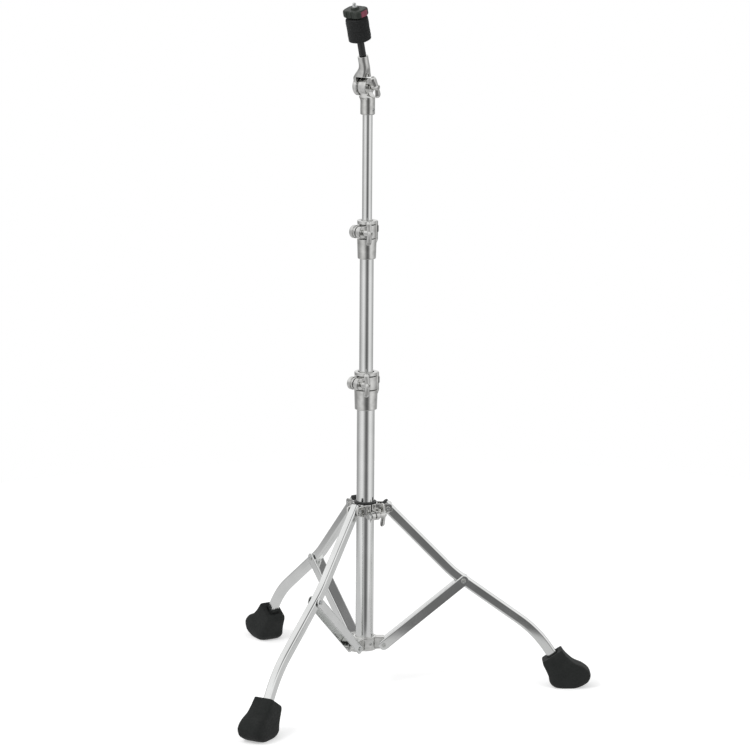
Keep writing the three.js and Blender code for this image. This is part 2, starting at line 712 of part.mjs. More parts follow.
// Straight runs joined by bends, sampled more closely in the bends
class LegPath extends THREE.Curve {
  constructor() {
    super();
    const knee = bend(legKnee, LEG_UPPER_SLOPE, LEG_MIDDLE_SLOPE);
    const ankle = bend(legAnkle, LEG_MIDDLE_SLOPE, LEG_LOWER_SLOPE);
    this.runs = [
      new THREE.LineCurve3(legStart, knee.v0),
      knee,
      new THREE.LineCurve3(knee.v2, ankle.v0),
      ankle,
      new THREE.LineCurve3(ankle.v2, legEnd),
    ];
    this.steps = [1, 3, 1, 5, 1];
  }
  getPoint(t, target = new THREE.Vector3()) {
    const total = this.steps.reduce((sum, n) => sum + n);
    let place = t * total;
    let i = 0;
    while (i + 1 < this.steps.length && place > this.steps[i]) {
      place -= this.steps[i];
      i += 1;
    }
    return target.copy(this.runs[i].getPoint(Math.min(place / this.steps[i], 1)));
  }
  getPointAt(u, target) {
    return this.getPoint(u, target);
  }
  getSpacedPoints(divisions) {
    return this.getPoints(divisions);
  }
  getTangentAt(u) {
    const share = 1e-4;
    const before = this.getPoint(Math.max(u - share, 0));
    const after = this.getPoint(Math.min(u + share, 1));
    return after.sub(before).normalize();
  }
}

const fewSided = (shape) => new THREE.Shape(shape.getPoints(1));
const legSection = (inset) =>
  fewSided(roundedRectangle(LEG_WIDTH - 2 * inset, LEG_DEPTH - 2 * inset, LEG_CORNER - inset));

// The same section with a plain slant at each corner
function legHollow(inset) {
  const [x, y] = [LEG_WIDTH / 2 - inset, LEG_DEPTH / 2 - inset];
  const slant = (LEG_CORNER - inset) / 2;
  const corners = [
    [slant - x, -y],
    [x - slant, -y],
    [x, slant - y],
    [x, y - slant],
    [x - slant, y],
    [slant - x, y],
    [-x, y - slant],
    [-x, slant - y],
  ];
  return polygon(corners);
}

function legTube() {
  const path = new LegPath();
  const steps = path.steps.reduce((sum, n) => sum + n);
  const outer = legSection(0);
  outer.holes.push(legHollow(LEG_WALL));
  const wall = new THREE.ExtrudeGeometry(outer, { extrudePath: path, steps });
  const hole = holeAlongY(RIVET_SHANK_RADIUS + GAP, -LEG_WIDTH, LEG_WIDTH);
  return cut(solid(wall), solid(hole));
}

function legCap() {
  const level = (edge, height) =>
    legSection(edge)
      .getPoints()
      .slice(0, -1)
      .map(({ x, y }) => new THREE.Vector3(x, y, height));
  const base = level(0, 0);
  const brow = level(0, LEG_CAP / 2);
  const crown = level(LEG_CAP / 3, LEG_CAP);
  const inset = LEG_WALL + GAP;
  const stem = prism(legHollow(inset), -LEG_CAP_STEM, LEG_CAP / 4);
  return join(solid(loft([base, brow, crown])), solid(stem));
}

// Brace, drawn along X from its lower pivot, with its web below

const braceHalf = LEG_WIDTH / 2 + BRACE_SIDE_GAP + BRACE_SHEET;
const lowerPivot = new THREE.Vector3(LOWER_PIVOT_RADIUS, 0, LOWER_PIVOT_HEIGHT);
const upperPivot = new THREE.Vector3(UPPER_PIVOT_RADIUS, 0, upperPivotHeight);
const braceSpan = new THREE.Vector3().addVectors(upperPivot, middlePivot).sub(lowerPivot);
const braceLength = braceSpan.length();
const braceSlope = THREE.MathUtils.radToDeg(Math.atan2(braceSpan.z, braceSpan.x));

function channelSection() {
  const [half, low] = [braceHalf, -BRACE_DEPTH / 2];
  const inner = half - BRACE_SHEET;
  const floor = low + BRACE_SHEET;
  const innerCorner = BRACE_CORNER - BRACE_SHEET;
  const shape = new THREE.Shape();
  shape.moveTo(-half, -low);
  shape.lineTo(-half, low + BRACE_CORNER);
  shape.absarc(BRACE_CORNER - half, low + BRACE_CORNER, BRACE_CORNER, Math.PI, 1.5 * Math.PI);
  shape.absarc(half - BRACE_CORNER, low + BRACE_CORNER, BRACE_CORNER, -Math.PI / 2, 0);
  shape.lineTo(half, -low);
  shape.lineTo(inner, -low);
  shape.lineTo(inner, floor + innerCorner);
  shape.lineTo(inner - innerCorner, floor);
  shape.lineTo(innerCorner - inner, floor);
  shape.lineTo(-inner, floor + innerCorner);
  shape.lineTo(-inner, -low);
  shape.closePath();
  return shape;
}

function brace() {
  const end = BRACE_DEPTH / 2;
  const options = { depth: braceLength + 2 * end, bevelEnabled: false, curveSegments: 1 };
  const channel = new THREE.ExtrudeGeometry(channelSection(), options);
  // Section X goes to Y, section Y to Z, and the length to X
  const swap = new THREE.Matrix4().makeBasis(
    new THREE.Vector3(0, 1, 0),
    new THREE.Vector3(0, 0, 1),
    new THREE.Vector3(1, 0, 0),
  );
  channel.applyMatrix4(swap).translate(-end, 0, 0);
  const side = new THREE.Shape();
  side.absarc(0, 0, end, Math.PI / 2, 1.5 * Math.PI);
  side.absarc(braceLength, 0, end, -Math.PI / 2, Math.PI / 2);
  side.closePath();
  const outline = solid(turnedTo(prism(side, -braceHalf - OVERRUN, braceHalf + OVERRUN), "x", 90));
  const inner = braceHalf - BRACE_SHEET;
  const notch = (centre, from, to) =>
    join(
      solid(block(from, to, -inner, inner, -end - OVERRUN, end)),
      solid(rod(inner, -end - OVERRUN, end, SMALL).scale(1 / 2, 1, 1).translate(centre, 0, 0)),
    );
  const nearLeg = braceLength - BRACE_WEB_CUT_AT_LEG + inner / 2;
  const nearCollar = BRACE_WEB_CUT_AT_COLLAR - inner / 2;
  const bore = () => holeAlongY(RIVET_SHANK_RADIUS + GAP, -2 * braceHalf, 2 * braceHalf);
  const hole = (x) => solid(bore().translate(x, 0, 0));
  return cut(
    solid(channel).intersect(outline),
    notch(nearLeg, nearLeg, braceLength + end + OVERRUN),
    notch(nearCollar, -end - OVERRUN, nearCollar),
    hole(0),
    hole(braceLength),
  );
}

// Rubber foot, drawn in the leg's plane from the middle of its mouth

function foot() {
  const spots = softRing(16, 2.9);
  const rings = footRingShares.map(([heelX, heelZ, toeX, toeZ, width]) => {
    const heel = [heelX * FOOT_REACH, heelZ * FOOT_HEIGHT];
    const toe = [toeX * FOOT_REACH, toeZ * FOOT_HEIGHT];
    return spots.map(
      ([along, across]) =>
        new THREE.Vector3(
          (heel[0] + toe[0]) / 2 + (along * (toe[0] - heel[0])) / 2,
          across * width * FOOT_HALF_WIDTH,
          (heel[1] + toe[1]) / 2 + (along * (toe[1] - heel[1])) / 2,
        ),
    );
  });
  const body = solid(loft(rings).translate(-footMouthReach, 0, 0));
  const into = (section, depth) =>
    solid(
      turnedTo(
        turnedTo(prism(section, -depth, OVERRUN), "z", 90),
        "y",
        LEG_LOWER_SLOPE - 90,
      ).translate(0, 0, footMouthHeight),
    );
  const bore = into(legSection(-GAP), LEG_IN_FOOT + GAP);
  const lead = into(legSection(-FOOT_MOUTH_STEP), FOOT_MOUTH_STEP);
  return cut(body, bore, lead);
}

function addLeg(parent, name, degrees) {
  const turn = group(0, 0, 0, degrees);
  parent.add(turn);
  const leg = group(UPPER_PIVOT_RADIUS, 0, upperPivotHeight);
  turn.add(leg);
  addPart(leg, "leg_" + name, legTube(), chrome());
  const cap = new THREE.Group();
  cap.position.copy(downSlope(LEG_UPPER_SLOPE).multiplyScalar(-LEG_OVER_PIVOT - GAP));
  cap.rotation.y = rad(LEG_UPPER_SLOPE - 90);
  const capTurn = new THREE.Group();
  capTurn.rotation.z = Math.PI / 2;
  cap.add(capTurn);
  leg.add(cap);
  addPart(capTurn, "leg_cap_" + name, legCap(), nylon());
  const footPlace = group(footMouth.x, 0, footMouth.z - footMouthHeight);
  leg.add(footPlace);
  addPart(footPlace, "foot_" + name, foot(), rubber());
  addPart(leg, "upper_rivet_" + name, rivet(earHalf), steel());

  const braceTurn = group(LOWER_PIVOT_RADIUS, 0, LOWER_PIVOT_HEIGHT);
  turn.add(braceTurn);
  addPart(braceTurn, "lower_rivet_" + name, rivet(braceHalf), steel());
  const channel = new THREE.Group();
  channel.rotation.y = -rad(braceSlope);
  braceTurn.add(channel);
  addPart(channel, "brace_" + name, brace(), chrome());
  const middle = group(braceLength, 0, 0);
  channel.add(middle);
  addPart(middle, "middle_rivet_left_" + name, stubRivet(1), steel());
  addPart(middle, "middle_rivet_right_" + name, stubRivet(-1), steel());
}

// Lower collar, with its foot at z = 0 of its group

function lowerCollar() {
  const bore = baseTubeRadius + GAP;
  const outer = bore + LOWER_COLLAR_WALL;
  const edge = LOWER_COLLAR_WALL / 4;
  const barrel = turned(
    [
      [bore, 0],
      [outer - edge, 0],
      [outer, edge],
      [outer, LOWER_COLLAR_HEIGHT - edge],
      [outer - edge, LOWER_COLLAR_HEIGHT],
      [bore, LOWER_COLLAR_HEIGHT],
    ],
    FINE,
  );
  const root = (bore + outer) / 2;
  const pivot = LOWER_COLLAR_UNDER_PIVOT;
  const half = braceHalf - BRACE_SHEET - GAP;
  const outline = new THREE.Shape();
  outline.moveTo(root, edge);
  outline.lineTo(LOWER_PIVOT_RADIUS, pivot - TONGUE_TIP_RADIUS);
  outline.absarc(LOWER_PIVOT_RADIUS, pivot, TONGUE_TIP_RADIUS, -Math.PI / 2, Math.PI / 6);
  outline.lineTo(LOWER_PIVOT_RADIUS, LOWER_COLLAR_HEIGHT - edge);
  outline.lineTo(root, LOWER_COLLAR_HEIGHT - edge);
  outline.closePath();
  const panel = fewSided(
    roundedRectangle(
      LOWER_PIVOT_RADIUS - outer,
      LOWER_COLLAR_HEIGHT - TONGUE_TIP_RADIUS,
      2 * edge,
    ),
  );
  const tongue = () => solid(turnedTo(prism(outline, -half, half), "x", 90));
  const recess = (side) => {
    const deep = half - TONGUE_RECESS;
    const [near, far] = side > 0 ? [deep, half + OVERRUN] : [-half - OVERRUN, -deep];
    const plate = turnedTo(prism(panel, near, far), "x", 90);
    const along = (LOWER_PIVOT_RADIUS - TONGUE_TIP_RADIUS + outer) / 2;
    return solid(plate.translate(along, 0, LOWER_COLLAR_HEIGHT / 2));
  };
  const bored = () => holeAlongY(RIVET_SHANK_RADIUS + GAP, -2 * half, 2 * half);
  const hole = () => solid(bored().translate(LOWER_PIVOT_RADIUS, 0, pivot));
  let made = solid(barrel);
  for (const degrees of LEG_ANGLES) {
    made = join(made, cut(tongue(), recess(1), recess(-1), hole()).rotate([0, 0, degrees]));
  }
  const tubeBore = solid(rod(bore, -OVERRUN, LOWER_COLLAR_HEIGHT + OVERRUN, FINE));
  const screwRod = rod(SET_SCREW_RADIUS + GAP, bore - GAP, outer + OVERRUN, SMALL);
  const screw = solid(turnedTo(screwRod, "y", 90)).translate([0, 0, LOWER_COLLAR_HEIGHT / 2]);
  const screwHole = screw.rotate([0, 0, LEG_COLLAR_LUG_ANGLE]);
  return cut(made, tubeBore, screwHole);
}

// Set screw along Z with its socket up
function setScrew(length) {
  const body = rod(SET_SCREW_RADIUS, 0, length, SMALL);
  const socket = rod(SET_SCREW_SOCKET_RADIUS, length / 2, length + OVERRUN, 6);
  return cut(solid(body), solid(socket));
}

function addSetScrew(parent, name, inner, outer, degrees, height) {
  const place = new THREE.Group();
  place.position.set(...polar(inner, degrees), height);
  place.rotation.set(0, Math.PI / 2, rad(degrees), "ZYX");
  parent.add(place);
  addPart(place, name, setScrew(outer - SET_SCREW_SUNK - inner), steel());
}

// Leg collar, with its upper rim at z = 0 of its group

const legBushingRadius = baseTubeRadius + GAP + LEG_COLLAR_BUSHING_WALL;
const legCollarRadius = legBushingRadius + GAP + LEG_COLLAR_WALL;
const earHalf = LEG_WIDTH / 2 + 2 * GAP + EAR_THICKNESS;

function legCollar() {
  const bore = legBushingRadius + GAP;
  const outer = legCollarRadius;
  const edge = LEG_COLLAR_WALL / 3;
  const barrel = turned(
    [
      [bore, -LEG_COLLAR_HEIGHT],
      [outer - edge, -LEG_COLLAR_HEIGHT],
      [outer, edge - LEG_COLLAR_HEIGHT],
      [outer, -edge],
      [outer - edge, 0],
      [bore, 0],
    ],
    FINE,
  );
  const pivot = -LEG_COLLAR_OVER_PIVOT;
  const root = bore / 2;
  const tip = UPPER_PIVOT_RADIUS + EAR_REACH;
  const floor = pivot - LEG_COLLAR_OVER_PIVOT;
  const outline = polygon([
    [root, floor - EAR_CORNER],
    [outer + EAR_CORNER, floor],
    [tip - EAR_CORNER / 2, floor],
    [tip, floor + EAR_CORNER / 2],
    [tip, -EAR_CORNER],
    [tip - EAR_CORNER, 0],
    [root, 0],
  ]);
  const inner = earHalf - EAR_THICKNESS;
  const ear = (from, to) => solid(turnedTo(prism(outline, from, to), "x", 90));
  const hole = () => holeAlongY(RIVET_SHANK_RADIUS + GAP, -2 * earHalf, 2 * earHalf);
  const pivotHole = () => solid(hole().translate(UPPER_PIVOT_RADIUS, 0, pivot));
  let made = solid(barrel);
  for (const degrees of LEG_ANGLES) {
    const pair = cut(join(ear(inner, earHalf), ear(-earHalf, -inner)), pivotHole());
    made = join(made, pair.rotate([0, 0, degrees]));
  }
  const bolt = -LEG_COLLAR_OVER_PIVOT - LEG_COLLAR_BOLT_UNDER_PIVOT;
  const boltOut = outer + LEG_COLLAR_BOLT_OUT;
  const lugHalf = LEG_COLLAR_LUG_HALF;
  const lug = lugs(boltOut, bolt, LEG_COLLAR_LUG_RADIUS, lugHalf, lugHalf, root);
  const reach = boltOut + LEG_COLLAR_LUG_RADIUS + OVERRUN;
  const boltHole = solid(
    holeAlongY(BOLT_RADIUS + GAP, -reach, reach).translate(boltOut, 0, bolt),
  );
  const split = solid(
    block(0, reach, -CLAMP_SPLIT / 2, CLAMP_SPLIT / 2, -reach, OVERRUN),
  );
  const turnLug = (part) => part.rotate([0, 0, LEG_COLLAR_LUG_ANGLE]);
  const tubeBore = solid(rod(bore, -reach, OVERRUN, FINE));
  return cut(join(made, turnLug(lug)), tubeBore, turnLug(boltHole), turnLug(split));
}

function legCollarBushing() {
  const bore = baseTubeRadius + GAP;
  const flange = legBushingRadius + LEG_COLLAR_FLANGE_LIP;
  const foot = -LEG_COLLAR_HEIGHT;
  return turned(
    [
      [bore, foot],
      [legBushingRadius, foot],
      [legBushingRadius, GAP],
      [flange, GAP],
      [flange, LEG_COLLAR_FLANGE * 0.7],
      [flange - LEG_COLLAR_FLANGE * 0.3, LEG_COLLAR_FLANGE],
      [bore, LEG_COLLAR_FLANGE],
    ],
    FINE,
  );
}

function addLegCollar(parent) {
  const place = group(0, 0, upperPivotHeight + LEG_COLLAR_OVER_PIVOT);
  parent.add(place);
  addPart(place, "leg_collar", legCollar(), castChrome());
  addPart(place, "leg_collar_bushing", legCollarBushing(), nylon());
  const boltOut = legCollarRadius + LEG_COLLAR_BOLT_OUT;
  const height = -LEG_COLLAR_OVER_PIVOT - LEG_COLLAR_BOLT_UNDER_PIVOT;
  const axis = LEG_COLLAR_LUG_ANGLE + 90;
  const bolt = boltGroup(place, boltOut, LEG_COLLAR_LUG_ANGLE, axis, height);
  const wing = new THREE.Group();
  wing.position.z = LEG_COLLAR_LUG_HALF + GAP;
  bolt.add(wing);
  const nutDepth = NUT_THICKNESS - NUT_CREST - GAP;
  const shank = 2 * LEG_COLLAR_LUG_HALF + GAP + nutDepth;
  const hub = LEG_COLLAR_PADDLE_AT - LEG_COLLAR_LUG_HALF - GAP;
  addPart(wing, "leg_collar_wing_bolt", wingBolt(shank, hub), castChrome());
  const nut = new THREE.Group();
  nut.position.z = -LEG_COLLAR_LUG_HALF - GAP;
  bolt.add(nut);
  addPart(nut, "leg_collar_nut", hexNut(NUT_RADIUS, NUT_THICKNESS), steel());
}

// Tilter. Both arms are drawn with the bolt along Y, towards the wing, and the pivot at the origin.

const tilterNear = -LOWER_DISC_NEAR;
const tilterFar = LOWER_DISC_FAR;

// A soft cornered level ring of an arm, between two faces along the bolt
const armRing = (height, near, far, halfWidth, power) =>
  softRing(16, power).map(
    ([x, y]) => new THREE.Vector3(x * halfWidth, (near + far) / 2 + (y * (far - near)) / 2, height),
  );

function tilterLowerArm() {
  const foot = -TILTER_PIVOT_OVER_FOOT;
  const top = foot + TILTER_SOCKET_HEIGHT;
  const socket = turned(
    [
      [0, foot],
      [TILTER_SOCKET_RADIUS - TILTER_SOCKET_ROUND, foot],
      [TILTER_SOCKET_RADIUS, foot + TILTER_SOCKET_ROUND],
      [TILTER_SOCKET_RADIUS, top - TILTER_SOCKET_ROUND],
      [TILTER_SOCKET_RADIUS - TILTER_SOCKET_ROUND, top + TILTER_SOCKET_ROUND],
      [0, top + 2 * TILTER_SOCKET_ROUND],
    ],
    ROUND,
  );
  const disc = alongY(LOWER_DISC_RADIUS, tilterNear, tilterFar);
  const waist = TILTER_WAIST / 2;
  const shoulder = TILTER_SOCKET_RADIUS - TILTER_SOCKET_ROUND / 3;
  const [hipNear, hipWaist] = [(tilterNear - shoulder) / 2, (waist + shoulder) / 2];
  const cheek = loft([
    armRing(top - TILTER_SOCKET_ROUND, -shoulder, shoulder, shoulder, 2),
    armRing(top + TILTER_SOCKET_ROUND, -shoulder, shoulder, shoulder, 2),
    armRing((top - LOWER_DISC_RADIUS) / 2, hipNear, tilterFar, hipWaist, 3),
    armRing(-LOWER_DISC_RADIUS * 0.75, tilterNear, tilterFar, waist, 4),
    armRing(-LOWER_DISC_RADIUS / 2, tilterNear, tilterFar, waist, 4),
  ]);
  const bore = rod(topTubeRadius + GAP, foot - OVERRUN, foot + TOP_TUBE_IN_TILTER + GAP, FINE);
  const boltHole = holeAlongY(BOLT_RADIUS + GAP, -2 * tilterFar, 2 * tilterFar);
  const screwHeight = foot + TILTER_SCREW_OVER_FOOT;
  const screwBore = SET_SCREW_RADIUS + GAP;
  const screwHole = holeAlongY(screwBore, -TILTER_SOCKET_RADIUS - OVERRUN, -topTubeRadius);
  return cut(
    join(solid(socket), solid(disc), solid(cheek)),
    solid(bore),
    solid(boltHole),
    solid(screwHole.translate(0, 0, screwHeight)),
  );
}

const upperDiscNear = tilterFar + TILTER_WASHER + 2 * GAP;
const upperDiscFar = upperDiscNear + UPPER_DISC_THICKNESS;

function tilterUpperArm() {
  const hipNear = -LOWER_DISC_NEAR;
  const neck = UPPER_ARM_NECK_RADIUS;
  const crest = neck - UPPER_ARM_EDGE;
  const hipHalf = UPPER_ARM_HIP_WIDTH / 2;
  const shoulder = (UPPER_ARM_HIP + UPPER_ARM_NECK) / 2;
  const body = loft([
    armRing(0, hipNear, upperDiscFar, hipHalf, 4),
    armRing(UPPER_ARM_HIP, hipNear, upperDiscFar, hipHalf, 4),
    armRing(shoulder, (hipNear - neck) / 2, (upperDiscFar + neck) / 2, (hipHalf + neck) / 2, 3),
    armRing(UPPER_ARM_NECK, -neck, neck, neck, 2.2),
    armRing(UPPER_ARM_TOP - UPPER_ARM_EDGE, -neck, neck, neck, 2),
    armRing(UPPER_ARM_TOP, -crest, crest, crest, 2),
  ]);
  const disc = alongY(UPPER_DISC_RADIUS, upperDiscNear, upperDiscFar);
  const clear = LOWER_DISC_RADIUS + UPPER_ARM_CLEARANCE;
  const pocket = join(
    solid(alongY(clear, -2 * upperDiscFar, upperDiscNear)),
    solid(block(-clear, clear, -2 * upperDiscFar, upperDiscNear, -clear, 0)),
  );
  const bore = rod(ROD_RADIUS + GAP, ROD_IN_ARM, UPPER_ARM_TOP + OVERRUN, ROUND);
  const boltHole = holeAlongY(BOLT_RADIUS + GAP, 0, 2 * upperDiscFar);
  const nutPocket = alongY(TILTER_NUT_RADIUS + GAP, upperDiscFar - TILTER_NUT_THICKNESS, 2 * upperDiscFar);
  const made = cut(solid(body), pocket);
  return cut(join(made, solid(disc)), solid(bore), solid(boltHole), solid(nutPocket));
}

function addTilter(parent) {
  const place = group(0, 0, tilterPivot, TILTER_ANGLE + 90);
  parent.add(place);
  addPart(place, "tilter_lower_arm", tilterLowerArm(), castChrome());
  const washer = ring(BOLT_RADIUS + GAP, TILTER_WASHER_RADIUS, 0, TILTER_WASHER, ROUND);
  const washerPlace = group(0, tilterFar + GAP, 0);
  place.add(washerPlace);
  addPart(washerPlace, "tilter_washer", turnedTo(washer, "x", -90), steel());
  const screwFoot = topTubeRadius + GAP;
  const screwHeight = TILTER_SCREW_OVER_FOOT - TILTER_PIVOT_OVER_FOOT;
  addSetScrew(place, "tilter_set_screw", screwFoot, TILTER_SOCKET_RADIUS, -90, screwHeight);

  const bolt = boltGroup(place, 0, 0, -90, 0);
  const wing = new THREE.Group();
  wing.position.z = LOWER_DISC_NEAR + GAP;
  wing.rotation.z = rad(TILTER_WING_ANGLE);
  bolt.add(wing);
  const hub = TILTER_PADDLE_AT - LOWER_DISC_NEAR - GAP;
  const shank = LOWER_DISC_NEAR + upperDiscFar + GAP - NUT_CREST - GAP;
  addPart(wing, "tilter_wing_bolt", wingBolt(shank, hub), castChrome());
  const nut = new THREE.Group();
  nut.position.z = TILTER_NUT_THICKNESS - upperDiscFar - GAP;
  bolt.add(nut);
  addPart(nut, "tilter_nut", hexNut(TILTER_NUT_RADIUS, TILTER_NUT_THICKNESS), steel());

  const tilting = new THREE.Group();
  tilting.rotation.y = rad(-TILT_ANGLE);
  place.add(tilting);
  addPart(tilting, "tilter_upper_arm", tilterUpperArm(), castChrome());
  addCymbalSeat(tilting);
}

// Cymbal seat: rod, sleeve, washer, two felts and a quick release nut

const sleeveTop = UPPER_ARM_TOP + SLEEVE_SHOWING;
const lowerFeltFoot = sleeveTop + SEAT_WASHER + 2 * GAP;
const upperFeltFoot = lowerFeltFoot + FELT_HEIGHT + GAP;
const cymbalNutFoot = upperFeltFoot + FELT_HEIGHT + GAP;

function cymbalRod() {
  return turned(
    [
      [0, ROD_IN_ARM + GAP],
      [ROD_RADIUS, ROD_IN_ARM + GAP],
      [ROD_RADIUS, ROD_TIP - ROD_CHAMFER],
      [ROD_RADIUS - ROD_CHAMFER, ROD_TIP],
      [0, ROD_TIP],
    ],
    ROUND,
  );
}

function rodSleeve() {
  const bore = ROD_RADIUS + GAP;
  const foot = UPPER_ARM_TOP + GAP;
  return turned(
    [
      [bore, foot],
      [SLEEVE_RADIUS, foot],
      [SLEEVE_RADIUS, sleeveTop],
      [SLEEVE_UPPER_RADIUS, sleeveTop],
      [SLEEVE_UPPER_RADIUS, cymbalNutFoot - GAP],
      [bore, cymbalNutFoot - GAP],
    ],
    ROUND,
  );
}

function feltPad(foot) {
  const bore = SLEEVE_UPPER_RADIUS + GAP;
  const top = foot + FELT_HEIGHT;
  return turned(
    [
      [bore, foot],
      [FELT_RADIUS - FELT_ROUND, foot],
      [FELT_RADIUS, foot + FELT_ROUND],
      [FELT_RADIUS, top - FELT_ROUND],
      [FELT_RADIUS - FELT_ROUND, top],
      [bore, top],
    ],
    FINE,
  );
}

const buttonReach = CYMBAL_NUT_LENGTH / 2 + BUTTON_PROUD;
const buttonBack = buttonReach - BUTTON_DEPTH;

function cymbalNut() {
  const plan = roundedRectangle(
    CYMBAL_NUT_LENGTH - 2 * CYMBAL_NUT_EDGE,
    CYMBAL_NUT_WIDTH - 2 * CYMBAL_NUT_EDGE,
    CYMBAL_NUT_CORNER - CYMBAL_NUT_EDGE,
  );
  const body = new THREE.ExtrudeGeometry(plan, {
    depth: CYMBAL_NUT_HEIGHT - 2 * CYMBAL_NUT_EDGE,
    bevelThickness: CYMBAL_NUT_EDGE,
    bevelSize: CYMBAL_NUT_EDGE,
    bevelSegments: 1,
    curveSegments: 3,
  }).translate(0, 0, CYMBAL_NUT_EDGE);
  const flute = (along, side) => {
    const out = CYMBAL_NUT_WIDTH / 2 + CYMBAL_NUT_FLUTE_RADIUS / 2;
    return solid(
      rod(CYMBAL_NUT_FLUTE_RADIUS, -OVERRUN, CYMBAL_NUT_HEIGHT + OVERRUN, SMALL).translate(
        along,
        side * out,
        0,
      ),
    );
  };
  const [left, right] = [-CYMBAL_NUT_FLUTE_PITCH / 2, CYMBAL_NUT_FLUTE_PITCH / 2];
  const flutes = [left, right].flatMap((x) => [flute(x, 1), flute(x, -1)]);
  const bore = rod(ROD_RADIUS + GAP, -OVERRUN, CYMBAL_NUT_HEIGHT + OVERRUN, ROUND);
  const middle = CYMBAL_NUT_HEIGHT / 2;
  const [half, tall] = [BUTTON_WIDTH / 2 + GAP, BUTTON_HEIGHT / 2 + GAP];
  const travel = BUTTON_SINK_WALL + BUTTON_SPRING_LENGTH;
  const pocket = block(
    buttonBack - travel,
    CYMBAL_NUT_LENGTH,
    -half,
    half,
    middle - tall,
    middle + tall,
  );
  const post = block(
    0,
    buttonBack - travel,
    -half - OVERRUN,
    half + OVERRUN,
    -OVERRUN,
    CYMBAL_NUT_HEIGHT + OVERRUN,
  );
  return cut(solid(body), ...flutes, solid(bore), cut(solid(pocket), solid(post)));
}

function nutButton() {
  const plan = new THREE.Shape();
  const half = BUTTON_WIDTH / 2;
  const crown = BUTTON_PROUD;
  plan.moveTo(buttonBack, -half);
  plan.lineTo(buttonReach - crown, -half);
  plan.quadraticCurveTo(buttonReach + crown, 0, buttonReach - crown, half);
  plan.lineTo(buttonBack, half);
  plan.closePath();
  const middle = CYMBAL_NUT_HEIGHT / 2;
  return solid(prism(plan, middle - BUTTON_HEIGHT / 2, middle + BUTTON_HEIGHT / 2));
}

class Helix extends THREE.Curve {
  getPoint(t, target = new THREE.Vector3()) {
    const angle = 2 * Math.PI * BUTTON_SPRING_TURNS * t;
    const [x, y] = [BUTTON_SPRING_RADIUS * Math.cos(angle), BUTTON_SPRING_RADIUS * Math.sin(angle)];
    const pitchSpan = BUTTON_SPRING_LENGTH - 2 * BUTTON_SPRING_WIRE;
    return target.set(x, y, BUTTON_SPRING_WIRE + pitchSpan * t);
  }
}

function buttonSpring() {
  const wire = polygon(Array.from({ length: 5 }, (_, i) => polar(BUTTON_SPRING_WIRE, (360 / 5) * i)));
  const coil = new THREE.ExtrudeGeometry(wire, { extrudePath: new Helix(), steps: 8 * BUTTON_SPRING_TURNS });
  return turnedTo(coil, "y", 90);
}

function addCymbalSeat(parent) {
  addPart(parent, "cymbal_rod", cymbalRod(), steel());
  addPart(parent, "rod_sleeve", rodSleeve(), nylon());
  const [washerBore, washerFoot] = [SLEEVE_UPPER_RADIUS + GAP, sleeveTop + GAP];
  const washerTop = washerFoot + SEAT_WASHER;
  const washer = ring(washerBore, SEAT_WASHER_RADIUS, washerFoot, washerTop, ROUND);
  addPart(parent, "seat_washer", washer, nylon());
  addPart(parent, "lower_felt", feltPad(lowerFeltFoot), felt());
  addPart(parent, "upper_felt", feltPad(upperFeltFoot), felt());
  const nut = group(0, 0, cymbalNutFoot, CYMBAL_NUT_ANGLE - TILTER_ANGLE - 90);
  parent.add(nut);
  addPart(nut, "cymbal_nut", cymbalNut(), nutPlastic());
  addPart(nut, "nut_button", nutButton(), redPlastic());
  const springPlace = new THREE.Group();
  const springFoot = buttonBack - BUTTON_SPRING_LENGTH - GAP - BUTTON_SPRING_WIRE;
  springPlace.position.set(springFoot, 0, CYMBAL_NUT_HEIGHT / 2);
  nut.add(springPlace);
  addPart(springPlace, "nut_button_spring", buttonSpring(), steel());
}

// The whole stand

function buildStand() {
  const stand = new THREE.Group();
  const foot = group(0, 0, baseTubeFoot);
  stand.add(foot);
  addPart(foot, "base_tube", tube(baseTubeRadius, BASE_TUBE_LENGTH), chrome());
  addPart(foot, "lower_collar", lowerCollar(), castChrome());
  const [screwFoot, screwAngle] = [baseTubeRadius + GAP, LEG_COLLAR_LUG_ANGLE];
  const screwTop = screwFoot + LOWER_COLLAR_WALL;
  const screwHeight = LOWER_COLLAR_HEIGHT / 2;
  addSetScrew(foot, "lower_collar_screw", screwFoot, screwTop, screwAngle, screwHeight);
  addLegCollar(stand);
  LEG_ANGLES.forEach((degrees, i) => addLeg(stand, LEG_NAMES[i], degrees));

  const lower = group(0, 0, baseRim);
  stand.add(lower);
  addHeightClamp(lower, "base_clamp", baseClamp);
  const middleFoot = upperRim - clampSeat - GAP - MIDDLE_TUBE_LENGTH;
  const middle = group(0, 0, middleFoot);
  stand.add(middle);
  addPart(middle, "middle_tube", tube(middleTubeRadius, MIDDLE_TUBE_LENGTH), chrome());
  addPart(middle, "middle_tube_glide", glide(middleTubeRadius, baseTubeRadius), nylon());

  const upper = group(0, 0, upperRim);
  stand.add(upper);
  addHeightClamp(upper, "upper_clamp", upperClamp);
  const topFoot = tilterFoot + TOP_TUBE_IN_TILTER - TOP_TUBE_LENGTH;
  const top = group(0, 0, topFoot);
  stand.add(top);
  addPart(top, "top_tube", tube(topTubeRadius, TOP_TUBE_LENGTH), chrome());
  addPart(top, "top_tube_glide", glide(topTubeRadius, middleTubeRadius), nylon());
  addTilter(stand);
  return stand;
}

const stand = buildStand();
const box = new THREE.Box3().setFromObject(stand, true);
const model = new THREE.Group();
model.name = "straight_cymbal_stand";
const middleX = (box.min.x + box.max.x) / 2;
const middleY = (box.min.y + box.max.y) / 2;
stand.position.set(-middleX, -middleY, -box.min.z);
model.add(stand);

export default model;
